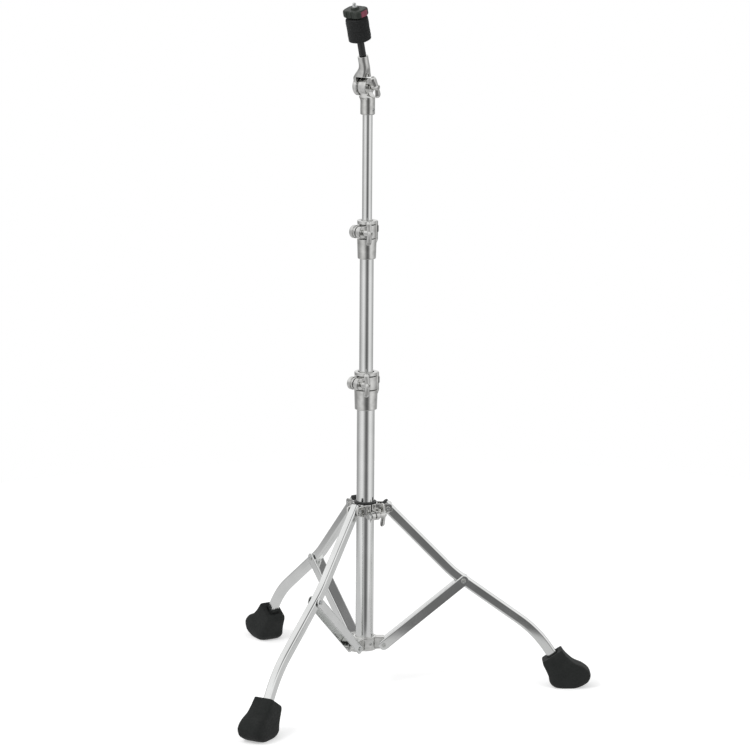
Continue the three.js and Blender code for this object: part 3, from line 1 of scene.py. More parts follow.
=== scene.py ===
# %% [markdown]
# # A straight cymbal stand, dressed for a photograph
# A straight cymbal stand holds one cymbal in the air. Three braced legs fold out from a
# collar, three chromed tubes slide into each other, and a tilter at the top leans the
# felt seat towards the player. This lesson takes the solid model of the stand and gives
# every piece its finished shape, surface and light, one piece at a time.
#
# The solid model comes first, as a fixed frame. Its lengths are true, so each finished
# piece takes its size and place from it.

# %% Load the solid model
import json
from math import atan2, cos, pi, radians, sin, tan

import bmesh
import bpy
from mathutils import Matrix, Vector, noise


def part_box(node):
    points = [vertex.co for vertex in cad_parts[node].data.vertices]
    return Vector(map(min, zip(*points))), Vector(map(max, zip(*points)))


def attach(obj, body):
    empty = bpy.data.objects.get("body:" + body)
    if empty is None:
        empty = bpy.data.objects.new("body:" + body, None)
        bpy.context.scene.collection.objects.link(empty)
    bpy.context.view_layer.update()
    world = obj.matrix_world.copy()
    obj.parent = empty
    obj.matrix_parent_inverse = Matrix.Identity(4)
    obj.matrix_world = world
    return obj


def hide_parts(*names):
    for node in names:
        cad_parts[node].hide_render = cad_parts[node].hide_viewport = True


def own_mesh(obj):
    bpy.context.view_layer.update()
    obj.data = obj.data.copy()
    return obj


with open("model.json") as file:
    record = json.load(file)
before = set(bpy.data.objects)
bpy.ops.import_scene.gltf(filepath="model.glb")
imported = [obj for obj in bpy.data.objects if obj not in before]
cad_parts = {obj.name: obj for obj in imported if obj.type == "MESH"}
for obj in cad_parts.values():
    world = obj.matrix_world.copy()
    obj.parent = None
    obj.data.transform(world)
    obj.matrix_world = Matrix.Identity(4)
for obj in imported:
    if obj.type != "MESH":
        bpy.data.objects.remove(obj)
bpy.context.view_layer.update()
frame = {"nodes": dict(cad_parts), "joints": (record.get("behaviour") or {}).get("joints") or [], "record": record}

nodes = frame["nodes"]
joints = {joint["name"]: joint for joint in frame["joints"]}
body_of_node = {
    node: body
    for body, members in frame["record"]["behaviour"]["bodies"].items()
    for node in members
}

# %% [markdown]
# ## Where things are
# All lengths in the shop drawings are millimetres, and Blender counts in metres, so one
# number turns one into the other. The axis of the tubes is the line that everything is
# built round, and the solids of the tubes tell us where it stands.

# %% Find the axis of the tubes
MM = 0.001
GAP = 0.3  # room between two pieces that touch in the real stand
LEG_NAMES = ["right", "rear", "front"]
LEG_ANGLES = {"right": 0, "rear": 120, "front": 240}


def shift(x=0.0, y=0.0, z=0.0):
    return Matrix.Translation((x, y, z))


def spin(axis, degrees):
    return Matrix.Rotation(radians(degrees), 4, axis)


def added(name, data):
    """A new object in the scene."""
    made = bpy.data.objects.new(name, data)
    bpy.context.scene.collection.objects.link(made)
    return made


def middle(node):
    low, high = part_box(node)
    return (low + high) / 2


def levels(node):
    low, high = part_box(node)
    return low.z / MM, high.z / MM


AXIS = middle("base_tube") / MM
AXIS.z = 0
print("tube axis at", round(AXIS.x, 2), round(AXIS.y, 2), "mm")


def standing(height, degrees=0, out=0):
    """A place on the tubes' axis, turned round it, with X pointing outwards."""
    return shift(AXIS.x, AXIS.y, height) @ spin("Z", degrees) @ shift(out)


def bolt_place(point, degrees, turn=0):
    """A place at a point with Z along a level bolt and X straight up."""
    along = Vector((cos(radians(degrees)), sin(radians(degrees)), 0))
    up = Vector((0, 0, 1))
    side = along.cross(up)
    basis = Matrix((up, side, along)).transposed().to_4x4()
    return shift(*point) @ basis @ spin("Z", turn)


# %% [markdown]
# ## The camera
# The photograph was taken from far away with a long lens, a little above the stand and
# looking slightly down. The place, the lens and the small roll were found by matching
# the tube axis, the feet and the clamps of the solid model to the picture. The picture
# is square, so the sensor's width is the picture's width too.

# %% Set up the camera
CAMERA_BACK = Vector((-82.8, -5393.4, 1622))
CAMERA_YAW = 1.03
CAMERA_PITCH = 11.65
CAMERA_ROLL = 0.38
PICTURE = 750
FOCAL_PIXELS = 3487.4
SENSOR = 36

camera_data = bpy.data.cameras.new("camera")
camera_data.sensor_width = SENSOR
camera_data.sensor_fit = "HORIZONTAL"
camera_data.lens = FOCAL_PIXELS / PICTURE * SENSOR
camera_data.clip_end = 100
camera = added("camera", camera_data)
yaw, pitch, roll = radians(CAMERA_YAW), radians(CAMERA_PITCH), radians(CAMERA_ROLL)
ahead = Vector((sin(yaw) * cos(pitch), cos(yaw) * cos(pitch), -sin(pitch)))
right = Vector((cos(yaw), -sin(yaw), 0))
above = right.cross(ahead)
right, above = (
    right * cos(roll) + above * sin(roll),
    above * cos(roll) - right * sin(roll),
)
turn = Matrix((right, above, -ahead)).transposed().to_4x4()
camera.matrix_world = Matrix.Translation((AXIS + CAMERA_BACK) * MM) @ turn
bpy.context.scene.camera = camera
bpy.context.scene.view_settings.view_transform = "Standard"
print("lens", round(camera_data.lens, 1), "mm")

# %% [markdown]
# ## The studio
# Chrome has hardly any look of its own: it shows the room. The photographer stood the
# stand before a white backdrop, with a big soft box on each side of the camera, dark
# boards beside the backdrop to draw the tubes' edges, and a dark room behind the camera,
# which is the dark line down the middle of each tube. A real set of boxes and boards
# could be built from planes, but a world that gives each direction its brightness makes
# the same reflections with no seams, and it is fixed to the room and not to the camera.
# The ceiling is white on the left and dark on the right, and the table below is lighter
# on the left too. The camera itself sees plain white, and dull things get a soft light
# that is a little stronger from the left.

# %% Small helpers for node trees
def node_of(tree, kind, settings=None, **inputs):
    made = tree.nodes.new(kind)
    for name, value in (settings or {}).items():
        setattr(made, name, value)
    for name, value in inputs.items():
        key = int(name[1:]) if name[1:].isdigit() else name.replace("_", " ")
        socket = made.inputs[key]
        if isinstance(value, bpy.types.NodeSocket):
            tree.links.new(value, socket)
        else:
            socket.default_value = value
    return made


def maths(tree, operation, first, second, third=0.5):
    made = node_of(
        tree, "ShaderNodeMath", {"operation": operation}, i0=first, i1=second, i2=third
    )
    return made.outputs[0]


def mixed(tree, share, first, second):
    made = node_of(
        tree, "ShaderNodeMix", {"data_type": "RGBA"}, Factor=share, i6=first, i7=second
    )
    return made.outputs[2]


def mapped(tree, value, from_low, from_high, low=0.0, high=1.0, curve="LINEAR"):
    made = node_of(
        tree, "ShaderNodeMapRange", {"interpolation_type": curve},
        i0=value, i1=from_low, i2=from_high, i3=low, i4=high,
    )
    return made.outputs[0]


def ramp(tree, factor, stops):
    """Grey by a factor: stops of (place, brightness)."""
    made = node_of(tree, "ShaderNodeValToRGB", None, Fac=factor)
    steps = made.color_ramp.elements
    while len(steps) < len(stops):
        steps.new(0.5)
    for step, (place, value) in zip(steps, stops):
        step.position = place
        step.color = (value, value, value, 1)
    return made.outputs["Color"]


# %% Light the room
# Brightness round the room at the height of the tubes, by degrees from the camera's side
ROOM = [
    (-180, 0.85), (-160, 0.8), (-150, 0.44), (-118, 0.34), (-95, 0.48), (-77, 0.64),
    (-50, 0.84), (-34, 0.76), (-21, 0.52), (-8, 0.24), (5, 0.125), (17, 0.13),
    (30, 0.34), (43, 0.74), (58, 0.86), (74, 0.8), (95, 0.6), (118, 0.42),
    (150, 0.44), (160, 0.8), (180, 0.85),
]
# Brightness overhead, by the height of the direction, on the left and on the right
LIT_CEILING = [(0.1, 0.95), (0.45, 0.95), (0.72, 0.93), (1.0, 0.85)]
DARK_CEILING = [
    (0.1, 0.95), (0.45, 0.95), (0.72, 0.9), (0.8, 0.45), (0.88, 0.14), (1.0, 0.12),
]
TABLE_LEFT, TABLE_RIGHT = 0.66, 0.2
LIGHT_ON_DULL, DULL_FROM_LEFT = 0.62, -0.3
WHITE = (1, 1, 1, 1)

world = bpy.data.worlds.new("studio")
world.use_nodes = True
bpy.context.scene.world = world
tree = world.node_tree
tree.nodes.clear()
way = node_of(tree, "ShaderNodeTexCoord").outputs["Generated"]
split = node_of(tree, "ShaderNodeSeparateXYZ", None, Vector=way).outputs
backwards = maths(tree, "MULTIPLY", split["Y"], -1.0)
round_room = maths(tree, "ARCTAN2", split["X"], backwards)
share = maths(tree, "MULTIPLY_ADD", round_room, 0.5 / pi, 0.5)
walls = ramp(tree, share, [((degrees + 180) / 360, value) for degrees, value in ROOM])
ceiling = ramp(tree, split["Z"], [(0.0, 0), (0.1, 0.0), (0.35, 0.7), (0.6, 1)])
lit_side = ramp(tree, split["Z"], LIT_CEILING)
dark_side = ramp(tree, split["Z"], DARK_CEILING)
to_right = mapped(tree, split["X"], -0.25, 0.15)
room = mixed(tree, ceiling, walls, mixed(tree, to_right, lit_side, dark_side))
low = maths(tree, "MULTIPLY", split["Z"], -1.0)
table_top = ramp(tree, low, [(0.25, 0), (0.6, 1)])
below = mapped(tree, split["X"], -0.6, -0.1, TABLE_LEFT, TABLE_RIGHT)
room = mixed(tree, table_top, room, below)
rays = node_of(tree, "ShaderNodeLightPath").outputs
mirrored = maths(tree, "MAXIMUM", rays["Is Glossy Ray"], rays["Is Transmission Ray"])
dull = maths(tree, "MULTIPLY_ADD", split["X"], DULL_FROM_LEFT, LIGHT_ON_DULL)
shown = mixed(tree, rays["Is Camera Ray"], mixed(tree, mirrored, dull, room), WHITE)
surface = node_of(tree, "ShaderNodeBackground", None, Color=shown, Strength=1.0)
out = node_of(tree, "ShaderNodeOutputWorld")
tree.links.new(surface.outputs[0], out.inputs["Surface"])
print("the room has", len(ROOM), "brightness stops")

# %% [markdown]
# ## Lamps and floor
# Two large soft lamps stand high on the left and right of the camera. They shape the
# rubber, the felt and the plastic, and lay a faint shadow under the feet. The chrome
# doesn't show the lamps, because the room's own bright boards already stand there. The
# floor is pale, and glows just enough that it melts into the white backdrop wherever no
# shadow falls on it. In the chrome the pale floor shows too, but only as far as the
# photographer's sheet of white board reached: its front edge lay a third of a metre
# before the stand, and past it the chrome shows the dark room.

# %% Place the lamps and the floor
LAMP_SIZE = 1.8
LAMP_AIM = Vector((0, 0, 0.55))


def soft_lamp(name, place, watts):
    lamp = bpy.data.lights.new(name, "AREA")
    lamp.shape = "DISK"
    lamp.size = LAMP_SIZE
    lamp.energy = watts
    holder = added(name, lamp)
    holder.location = place
    holder.rotation_euler = (LAMP_AIM - Vector(place)).to_track_quat("-Z", "Y").to_euler()
    holder.visible_glossy = False


soft_lamp("left_soft_lamp", (-2.6, -2.2, 3.2), 70)
soft_lamp("right_soft_lamp", (2.4, -2.6, 2.6), 45)

FLOOR_RADIUS = 1.6
BOARD_FRONT = 0.28, 0.35  # where the white board ends in the chrome, towards the camera
BOARD_ROUND = 0.75, 1.15  # and all round
BOARD_GREY = (0.6, 0.6, 0.6, 1)
floor_shape = bmesh.new()
bmesh.ops.create_circle(floor_shape, cap_ends=True, segments=96, radius=FLOOR_RADIUS)
floor_mesh = bpy.data.meshes.new("floor")
floor_shape.to_mesh(floor_mesh)
floor_shape.free()
floor = added("floor", floor_mesh)
paint = bpy.data.materials.new("pale_floor")
paint.use_nodes = True
tree = paint.node_tree
tree.nodes.clear()
board = node_of(tree, "ShaderNodeBsdfDiffuse", None, Color=(0.8, 0.8, 0.8, 1))
glow = node_of(tree, "ShaderNodeEmission", None, Color=WHITE, Strength=0.42)
both = node_of(tree, "ShaderNodeAddShader", None, i0=board.outputs[0], i1=glow.outputs[0])
place = node_of(tree, "ShaderNodeTexCoord").outputs["Object"]
across_floor = node_of(tree, "ShaderNodeSeparateXYZ", None, Vector=place).outputs["Y"]
towards_camera = maths(tree, "MULTIPLY", across_floor, -1.0)
front_edge = mapped(tree, towards_camera, *BOARD_FRONT, curve="SMOOTHSTEP")
away = node_of(tree, "ShaderNodeVectorMath", {"operation": "LENGTH"}, i0=place)
round_edge = mapped(tree, away.outputs["Value"], *BOARD_ROUND)
edge = maths(tree, "MAXIMUM", front_edge, round_edge)
seen_in_chrome = node_of(tree, "ShaderNodeEmission", None, Color=BOARD_GREY, Strength=1.0)
nothing = node_of(tree, "ShaderNodeBsdfTransparent")
mirrored_floor = node_of(
    tree, "ShaderNodeMixShader", None,
    i0=edge, i1=seen_in_chrome.outputs[0], i2=nothing.outputs[0],
)
glossy = node_of(tree, "ShaderNodeLightPath").outputs["Is Glossy Ray"]
whole = node_of(
    tree, "ShaderNodeMixShader", None,
    i0=glossy, i1=both.outputs[0], i2=mirrored_floor.outputs[0],
)
node_of(tree, "ShaderNodeOutputMaterial", None, Surface=whole.outputs[0])
floor_mesh.materials.append(paint)
print("floor", 2 * FLOOR_RADIUS, "m across")

# %% [markdown]
# ## Finishes
# Every finish is made from noise laid over the piece's own coordinates, so it stays with
# the piece when the stand folds. Large soft noise gives handling marks, small noise gives
# the grain, and both feed roughness and bump as well as colour, because a real surface
# never has one even shine. Colours that are the same all over are set straight on the
# shader.

# %% Helpers for finishes
class Finish:
    """One material with its shader, and short ways to make its noises and bumps."""

    def __init__(self, name, color, metallic, roughness):
        self.material = bpy.data.materials.new(name)
        self.material.use_nodes = True
        self.tree = self.material.node_tree
        self.tree.nodes.clear()
        self.shader = node_of(
            self.tree, "ShaderNodeBsdfPrincipled", None,
            Base_Color=(*color, 1), Metallic=metallic, Roughness=roughness,
        )
        node_of(self.tree, "ShaderNodeOutputMaterial", None, Surface=self.shader.outputs[0])
        self.place = node_of(self.tree, "ShaderNodeTexCoord").outputs["Object"]

    def stretched(self, x, y, z):
        made = node_of(
            self.tree, "ShaderNodeMapping", None, Vector=self.place, Scale=(x, y, z)
        )
        return made.outputs[0]

    def noise(self, size_mm, detail=3.0, coordinates=None, rough=0.5):
        made = node_of(
            self.tree, "ShaderNodeTexNoise", None, Vector=coordinates or self.place,
            Scale=1 / (size_mm * MM), Detail=detail, Roughness=rough,
        )
        return made.outputs[0]

    def between(self, value, low, high, from_low=0.3, from_high=0.7):
        return mapped(self.tree, value, from_low, from_high, low, high)

    def tint(self, value, dark, light, from_low=0.3, from_high=0.7):
        share = self.between(value, 0.0, 1.0, from_low, from_high)
        return mixed(self.tree, share, (*dark, 1), (*light, 1))

    def bump(self, height, depth_mm, strength, under=None):
        made = node_of(
            self.tree, "ShaderNodeBump", None,
            Height=height, Distance=depth_mm * MM, Strength=strength,
        )
        if under is not None:
            self.tree.links.new(under, made.inputs["Normal"])
        return made.outputs[0]

    def set(self, **sockets):
        for name, value in sockets.items():
            socket = self.shader.inputs[name.replace("_", " ")]
            if isinstance(value, bpy.types.NodeSocket):
                self.tree.links.new(value, socket)
            else:
                socket.default_value = value


# %% [markdown]
# ### Bright chrome
# The tubes and legs are polished steel under chrome plate. The plate is almost a mirror.
# Buffing leaves hair lines along the tube and a slow waviness that bends the reflected
# lines, and hands leave dull patches. So the roughness follows a cloudy noise, and the
# bump is a stretched hair noise over a very shallow wave.

# %% Chrome for the tubes and the legs
def chrome(name, along_z):
    made = Finish(name, (0.88, 0.89, 0.88), 1.0, 0.08)
    cloud = made.noise(34, 3)
    hairs = made.noise(0.5, 2, made.stretched(1, 1, 0.012 if along_z else 0.2))
    wave = made.noise(22, 1)
    specks = made.noise(1.1, 1)
    clouded, combed = made.between(cloud, 0.055, 0.12), made.between(hairs, 0.0, 0.05)
    shine = maths(made.tree, "ADD", clouded, combed)
    shine = maths(made.tree, "ADD", shine, made.between(specks, 0.0, 0.14, 0.72, 0.8))
    made.set(
        Base_Color=made.tint(cloud, (0.82, 0.83, 0.82), (0.9, 0.905, 0.9)),
        Roughness=shine,
        Normal=made.bump(hairs, 0.004, 0.5, made.bump(wave, 0.05, 0.5)),
    )
    return made.material


CHROME_TUBE = chrome("chrome_along_tube", True)
CHROME_LEG = chrome("chrome_on_leg", False)

# %% [markdown]
# ### Plated castings
# The clamps, collars, tilter and wing bolts are zinc castings, tumbled and then plated.
# The plate follows the skin of the casting, so the mirror is broken into a soft satin
# with fine pits, and it is darker and a little warmer than the tubes.

# %% Satin plate for the castings
def cast_plate():
    made = Finish("plated_casting", (0.78, 0.78, 0.765), 1.0, 0.08)
    cloud = made.noise(9, 3)
    skin = made.noise(2.2, 2)
    pits = made.noise(0.5, 2)
    hollow = made.between(pits, 0.0, 1.0, 0.26, 0.34)
    made.set(
        Base_Color=made.tint(cloud, (0.58, 0.58, 0.565), (0.80, 0.80, 0.785)),
        Roughness=made.between(skin, 0.05, 0.11),
        Normal=made.bump(hollow, 0.01, 0.5, made.bump(skin, 0.016, 0.45)),
    )
    return made.material


CAST_PLATE = cast_plate()

# %% [markdown]
# ### Zinc plated steel
# Rivets, nuts, screws and the bare rod are turned or pressed steel with thin zinc on it,
# which is greyer than chrome and has faint blue and yellow clouds and tool lines.

# %% Zinc plate for the small steel parts
def zinc_plate():
    made = Finish("zinc_plated_steel", (0.62, 0.63, 0.63), 1.0, 0.35)
    cloud = made.noise(2.4, 2)
    lines = made.noise(0.35, 2, made.stretched(0.15, 1, 1))
    made.set(
        Base_Color=made.tint(cloud, (0.60, 0.63, 0.66), (0.80, 0.79, 0.74)),
        Roughness=made.between(lines, 0.18, 0.36),
        Normal=made.bump(lines, 0.02, 0.6),
    )
    return made.material


ZINC_PLATE = zinc_plate()

# %% [markdown]
# ### Rubber, nylon, plastic and felt
# The feet are soft black rubber with a dusty bloom in soft patches and a fine moulded
# grain. The bushings and caps are black nylon, smoother and slightly shinier. The seat
# nut is dark green black plastic with a spark eroded texture, and its button is a muted
# crimson. Felt is matted wool: no shine at all, a sheen of loose fibre, and a bump made
# of crossed stretched noises, which look like tangled hairs.

# %% Dull finishes
def boot_rubber():
    made = Finish("boot_rubber", (0.010, 0.0115, 0.0108), 0.0, 0.7)
    dust = made.noise(16, 4)
    grain = made.noise(0.55, 3)
    scuffs = made.noise(3.2, 5, rough=0.7)
    dusty = made.tint(dust, (0.009, 0.0104, 0.0098), (0.0125, 0.014, 0.0134))
    made.set(
        Base_Color=dusty,
        Roughness=made.between(scuffs, 0.55, 0.85),
        Normal=made.bump(grain, 0.06, 0.7, made.bump(scuffs, 0.1, 0.35)),
        Specular_IOR_Level=0.3,
    )
    return made.material


def moulded(name, dark, light, roughness, grain_mm, depth_mm):
    made = Finish(name, light, 0.0, roughness)
    cloud = made.noise(6, 3)
    grain = made.noise(grain_mm, 3)
    made.set(
        Base_Color=made.tint(cloud, dark, light),
        Roughness=made.between(grain, roughness - 0.08, roughness + 0.1),
        Normal=made.bump(grain, depth_mm, 0.6),
    )
    return made.material


def matted_felt():
    made = Finish("matted_felt", (0.012, 0.0125, 0.0125), 0.0, 1.0)
    one = made.noise(0.9, 4, made.stretched(1, 0.25, 0.6), 0.65)
    other = made.noise(0.9, 4, made.stretched(0.3, 1, 0.5), 0.65)
    mat = maths(made.tree, "MAXIMUM", one, other)
    tuft = made.noise(3.5, 3)
    made.set(
        Base_Color=made.tint(mat, (0.007, 0.0072, 0.0072), (0.026, 0.027, 0.027), 0.4, 0.72),
        Roughness=0.96,
        Normal=made.bump(mat, 0.45, 0.8, made.bump(tuft, 0.5, 0.4)),
        Sheen_Weight=0.35,
        Sheen_Roughness=0.5,
        Sheen_Tint=(0.3, 0.31, 0.31, 1),
        Specular_IOR_Level=0.15,
    )
    return made.material


BOOT_RUBBER = boot_rubber()
BLACK_NYLON = moulded(
    "black_nylon", (0.010, 0.011, 0.011), (0.017, 0.018, 0.018), 0.45, 0.7, 0.03
)
NUT_PLASTIC = moulded(
    "green_black_plastic", (0.014, 0.018, 0.014), (0.022, 0.028, 0.022), 0.42, 0.35, 0.03
)
RED_PLASTIC = moulded(
    "crimson_plastic", (0.17, 0.032, 0.055), (0.22, 0.045, 0.075), 0.38, 0.35, 0.02
)
FELT = matted_felt()
print(len(bpy.data.materials), "finishes")

# %% [markdown]
# ## Shapes
# A turned part is a profile swept round its axis, a pressed or cast part is often a flat
# outline with some thickness, and a foot or an arm is a skin over a row of rings. These
# few helpers make such skins point by point, so every edge can be given its own round.
# A join or a cut uses Blender's boolean, just as a casting is machined after it is poured.

# %% Outlines with rounded corners
def softened(corners, round_mm, steps=4):
    """A closed outline with each corner replaced by a short curve."""
    radii = round_mm if isinstance(round_mm, (list, tuple)) else [round_mm] * len(corners)
    made = []
    for i, (corner, radius) in enumerate(zip(corners, radii)):
        here = Vector(corner)
        before = Vector(corners[i - 1]) - here
        after = Vector(corners[(i + 1) % len(corners)]) - here
        if radius <= 0 or before.length == 0 or after.length == 0:
            made.append(tuple(here))
            continue
        reach = min(
            radius / max(tan(before.angle(after) / 2), 1e-6),
            0.48 * before.length, 0.48 * after.length,
        )
        start, end = here + before.normalized() * reach, here + after.normalized() * reach
        for step in range(steps + 1):
            t = step / steps
            made.append(tuple(start.lerp(here, t).lerp(here.lerp(end, t), t)))
    return made


def oblong(x, y, far_x, far_y):
    return [(x, y), (far_x, y), (far_x, far_y), (x, far_y)]


def arc(x, y, radius, start, end, steps):
    span = [radians(start + (end - start) * i / steps) for i in range(steps + 1)]
    return [(x + radius * cos(a), y + radius * sin(a)) for a in span]


def ring_outline(count, power):
    """Points round a soft cornered box, as shares of its half sizes."""
    spots = [2 * pi * (i + 0.5) / count for i in range(count)]
    return [
        tuple((1 if v > 0 else -1) * abs(v) ** (2 / power) for v in (cos(a), sin(a)))
        for a in spots
    ]


# %% Skins from outlines and rings
def to_mesh(shape):
    mesh = bpy.data.meshes.new("shape")
    shape.to_mesh(mesh)
    shape.free()
    return mesh


def skin(rings, closed_ends=True, loop=False):
    """A skin over rings of equal count. A ring of one point is a pole."""
    shape = bmesh.new()
    rows = [[shape.verts.new(point) for point in ring] for ring in rings]
    count = max(len(row) for row in rows)
    pairs = list(zip(rows, rows[1:])) + ([(rows[-1], rows[0])] if loop else [])
    for low, high in pairs:
        for i in range(count):
            j = (i + 1) % count
            corners = [low[i % len(low)], low[j % len(low)]]
            corners += [high[j % len(high)], high[i % len(high)]]
            corners = list(dict.fromkeys(corners))
            if len(corners) > 2:
                shape.faces.new(corners)
    if closed_ends and not loop:
        for row in (rows[0], rows[-1]):
            if len(row) > 2:
                shape.faces.new(row)
    bmesh.ops.recalc_face_normals(shape, faces=shape.faces)
    return to_mesh(shape)


def turned(profile, segments=96):
    """A profile of (radius, height) swept round Z. A profile off the axis closes on itself."""
    rings = []
    for radius, height in profile:
        if radius < 1e-6:
            rings.append([(0, 0, height)])
        else:
            spots = [2 * pi * i / segments for i in range(segments)]
            rings.append([(radius * cos(a), radius * sin(a), height) for a in spots])
    hollow = profile[0][0] > 1e-6 and profile[-1][0] > 1e-6
    return skin(rings, closed_ends=False, loop=hollow)


def slab(outline, low, high, edge=0.0, steps=3):
    """A flat outline with thickness along Z and rounded rims."""
    points = [Vector(p) for p in outline]
    count = len(points)
    area = sum(
        points[i - 1].x * points[i].y - points[i].x * points[i - 1].y for i in range(count)
    )
    inward = []
    for i, here in enumerate(points):
        one, two = here - points[i - 1], points[(i + 1) % count] - here
        normals = [Vector((-d.y, d.x)).normalized() for d in (one, two) if d.length > 1e-9]
        way = sum(normals, Vector((0, 0)))
        scale = 1 / max(way.length / len(normals), 0.5) if way.length > 1e-9 else 0
        inward.append(way.normalized() * scale * (1 if area > 0 else -1))
    turns = [pi / 2 * i / steps for i in range(steps + 1)] if edge else [pi / 2]
    rows = [(edge * (1 - sin(a)), low + edge * (1 - cos(a))) for a in turns]
    rows += [(edge * (1 - sin(a)), high - edge * (1 - cos(a))) for a in reversed(turns)]
    pairs = list(zip(points, inward))
    return skin([
        [(p.x + w.x * inset, p.y + w.y * inset, height) for p, w in pairs]
        for inset, height in rows
    ])


def placed(mesh, matrix):
    mesh.transform(matrix)
    return mesh


def across(mesh, x=0.0, y=0.0, z=0.0):
    """Turns a shape's Z onto Y and moves it there."""
    return placed(placed(mesh, spin("X", -90)), shift(x, y, z))


def upright(outline, low, high, edge=0.0):
    """A slab whose flat outline stands up in the XZ plane."""
    return placed(slab(outline, low, high, edge), spin("X", 90))


def spun(mesh, degrees):
    return placed(mesh, spin("Z", degrees))


def cylinder(radius, low, high, segments=64, edge=0.0, steps=4):
    profile = oblong(0, low, radius, high)
    if edge:
        profile = softened(profile, [0, edge, edge, 0], steps)
    return turned(profile, segments)


def hole_across(radius, reach, out=0.0, height=0.0):
    """A round hole along Y at some place out from the axis."""
    return across(cylinder(radius, -reach, reach, 48), out, 0, height)


# %% Joining and cutting
def evaluated(item):
    """The mesh that an object's modifiers make of it."""
    seen = item.evaluated_get(bpy.context.evaluated_depsgraph_get())
    return bpy.data.meshes.new_from_object(seen)


def machined(mesh, joins=(), cuts=(), common=()):
    """Joins shapes to a mesh, cuts others out of it, or keeps what it shares with them."""
    base, tools = added("work", mesh), []
    for kind, shapes in (("UNION", joins), ("DIFFERENCE", cuts), ("INTERSECT", common)):
        for shape in shapes:
            tools.append(added("tool", shape))
            step = base.modifiers.new(kind, "BOOLEAN")
            step.operation, step.object, step.solver = kind, tools[-1], "MANIFOLD"
    made = evaluated(base)
    for item in [base, *tools]:
        bpy.data.objects.remove(item)
    return made


def joined_flats(mesh, merge, flat_degrees):
    """Close points merged and flat faces joined."""
    shape = bmesh.new()
    shape.from_mesh(mesh)
    bmesh.ops.remove_doubles(shape, verts=shape.verts, dist=merge)
    bmesh.ops.dissolve_limit(
        shape, angle_limit=radians(flat_degrees), verts=shape.verts, edges=shape.edges
    )
    return shape


def cleaned(mesh):
    shape = joined_flats(mesh, 0.01, 0.3)
    bmesh.ops.recalc_face_normals(shape, faces=shape.faces)
    return to_mesh(shape)


def merged(*meshes):
    """Several loose skins in one mesh."""
    shape = bmesh.new()
    for mesh in meshes:
        shape.from_mesh(mesh)
    return to_mesh(shape)


def bake(piece):
    made = evaluated(piece)
    piece.modifiers.clear()
    piece.data = made


def hand_over(name, mesh, finish, replaced, edge_mm=0.0, angle=34, flat_faces=True):
    """Breaks the edges of a mesh, shades it, and lets it stand for solids."""
    mesh.materials.clear()
    mesh.materials.append(finish)
    piece = added(name, mesh)
    if edge_mm:
        bevel = piece.modifiers.new("broken_edges", "BEVEL")
        bevel.width = edge_mm * MM
        bevel.segments = 2
        bevel.limit_method = "ANGLE"
        bevel.angle_limit = radians(angle)
        bevel.use_clamp_overlap = False
        bake(piece)
    for face in piece.data.polygons:
        face.use_smooth = True
        face.material_index = 0
    piece.data.set_sharp_from_angle(angle=radians(max(angle, 40)))
    if flat_faces:
        piece.modifiers.new("even_shine", "WEIGHTED_NORMAL").keep_sharp = True
        bake(piece)
    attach(piece, body_of_node[replaced[0]])
    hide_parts(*replaced)
    return piece


def finish_piece(name, mesh, finish, replaced, **looks):
    """Hands over a mesh that is drawn in millimetres."""
    mesh.transform(Matrix.Scale(MM, 4))
    return hand_over(name, mesh, finish, replaced, **looks)


def soft_piece(name, mesh, finish, replaced):
    """Hands over a mesh whose corners are soft all over, so that none is shaded sharp."""
    piece = finish_piece(name, mesh, finish, replaced, angle=75, flat_faces=False)
    print(name, len(piece.data.polygons), "faces")
    return piece


print("shape helpers ready")

# %% [markdown]
# ## The three tubes
# Each tube is drawn steel, cut to length and then plated, so its ends have a small
# rolled lip where the burr was taken off. A turned profile gives the bore, both lips and
# the outside in one skin. Their radii and levels are read from the solids.

# %% Turn the tubes
TUBE_WALL = 1.2
LIP = 0.45


def steel_tube(node):
    low, high = levels(node)
    near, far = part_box(node)
    radius = (far.x - near.x) / 2 / MM
    profile = oblong(radius - TUBE_WALL, low, radius, high)
    mesh = placed(turned(softened(profile, LIP, 3), 128), shift(*AXIS))
    finish_piece(node + "_chromed", mesh, CHROME_TUBE, [node])
    print(node, "radius", round(radius, 2), "from", round(low, 1), "to", round(high, 1), "mm")
    return radius


base_radius = steel_tube("base_tube")
middle_radius = steel_tube("middle_tube")
top_radius = steel_tube("top_tube")

# %% [markdown]
# ## The legs
# A leg is a round tube that has been rolled flat on its sides and then bent twice: once
# gently under the brace's pivot, and once more sharply above the foot. It follows a path,
# so Geometry Nodes suit it: a soft cornered box section is swept along a curve. The curve
# has the three straight runs and two bends of the real leg, with its points close
# together in the bends. The tree's named inputs are the width and depth of the section
# and the round of its corners.

# %% The leg's path
UPPER_RUN, MIDDLE_RUN, LOWER_RUN = 150, 164, 46.7
UPPER_SLOPE, MIDDLE_SLOPE, LOWER_SLOPE = 45.5, 35.5, 56
BEND_RADIUS, BEND_STEPS = 185, 16
LEG_WIDTH, LEG_DEPTH, LEG_CORNER = 13.0, 16.5, 3.6
OVER_PIVOT, IN_FOOT = 9, 33
UPPER_PIVOT_OUT, LOWER_PIVOT_OUT = 36.2, 31


def down(slope, length):
    return Vector((cos(radians(slope)), 0, -sin(radians(slope)))) * length


KNEE = down(UPPER_SLOPE, UPPER_RUN)
ANKLE = KNEE + down(MIDDLE_SLOPE, MIDDLE_RUN)


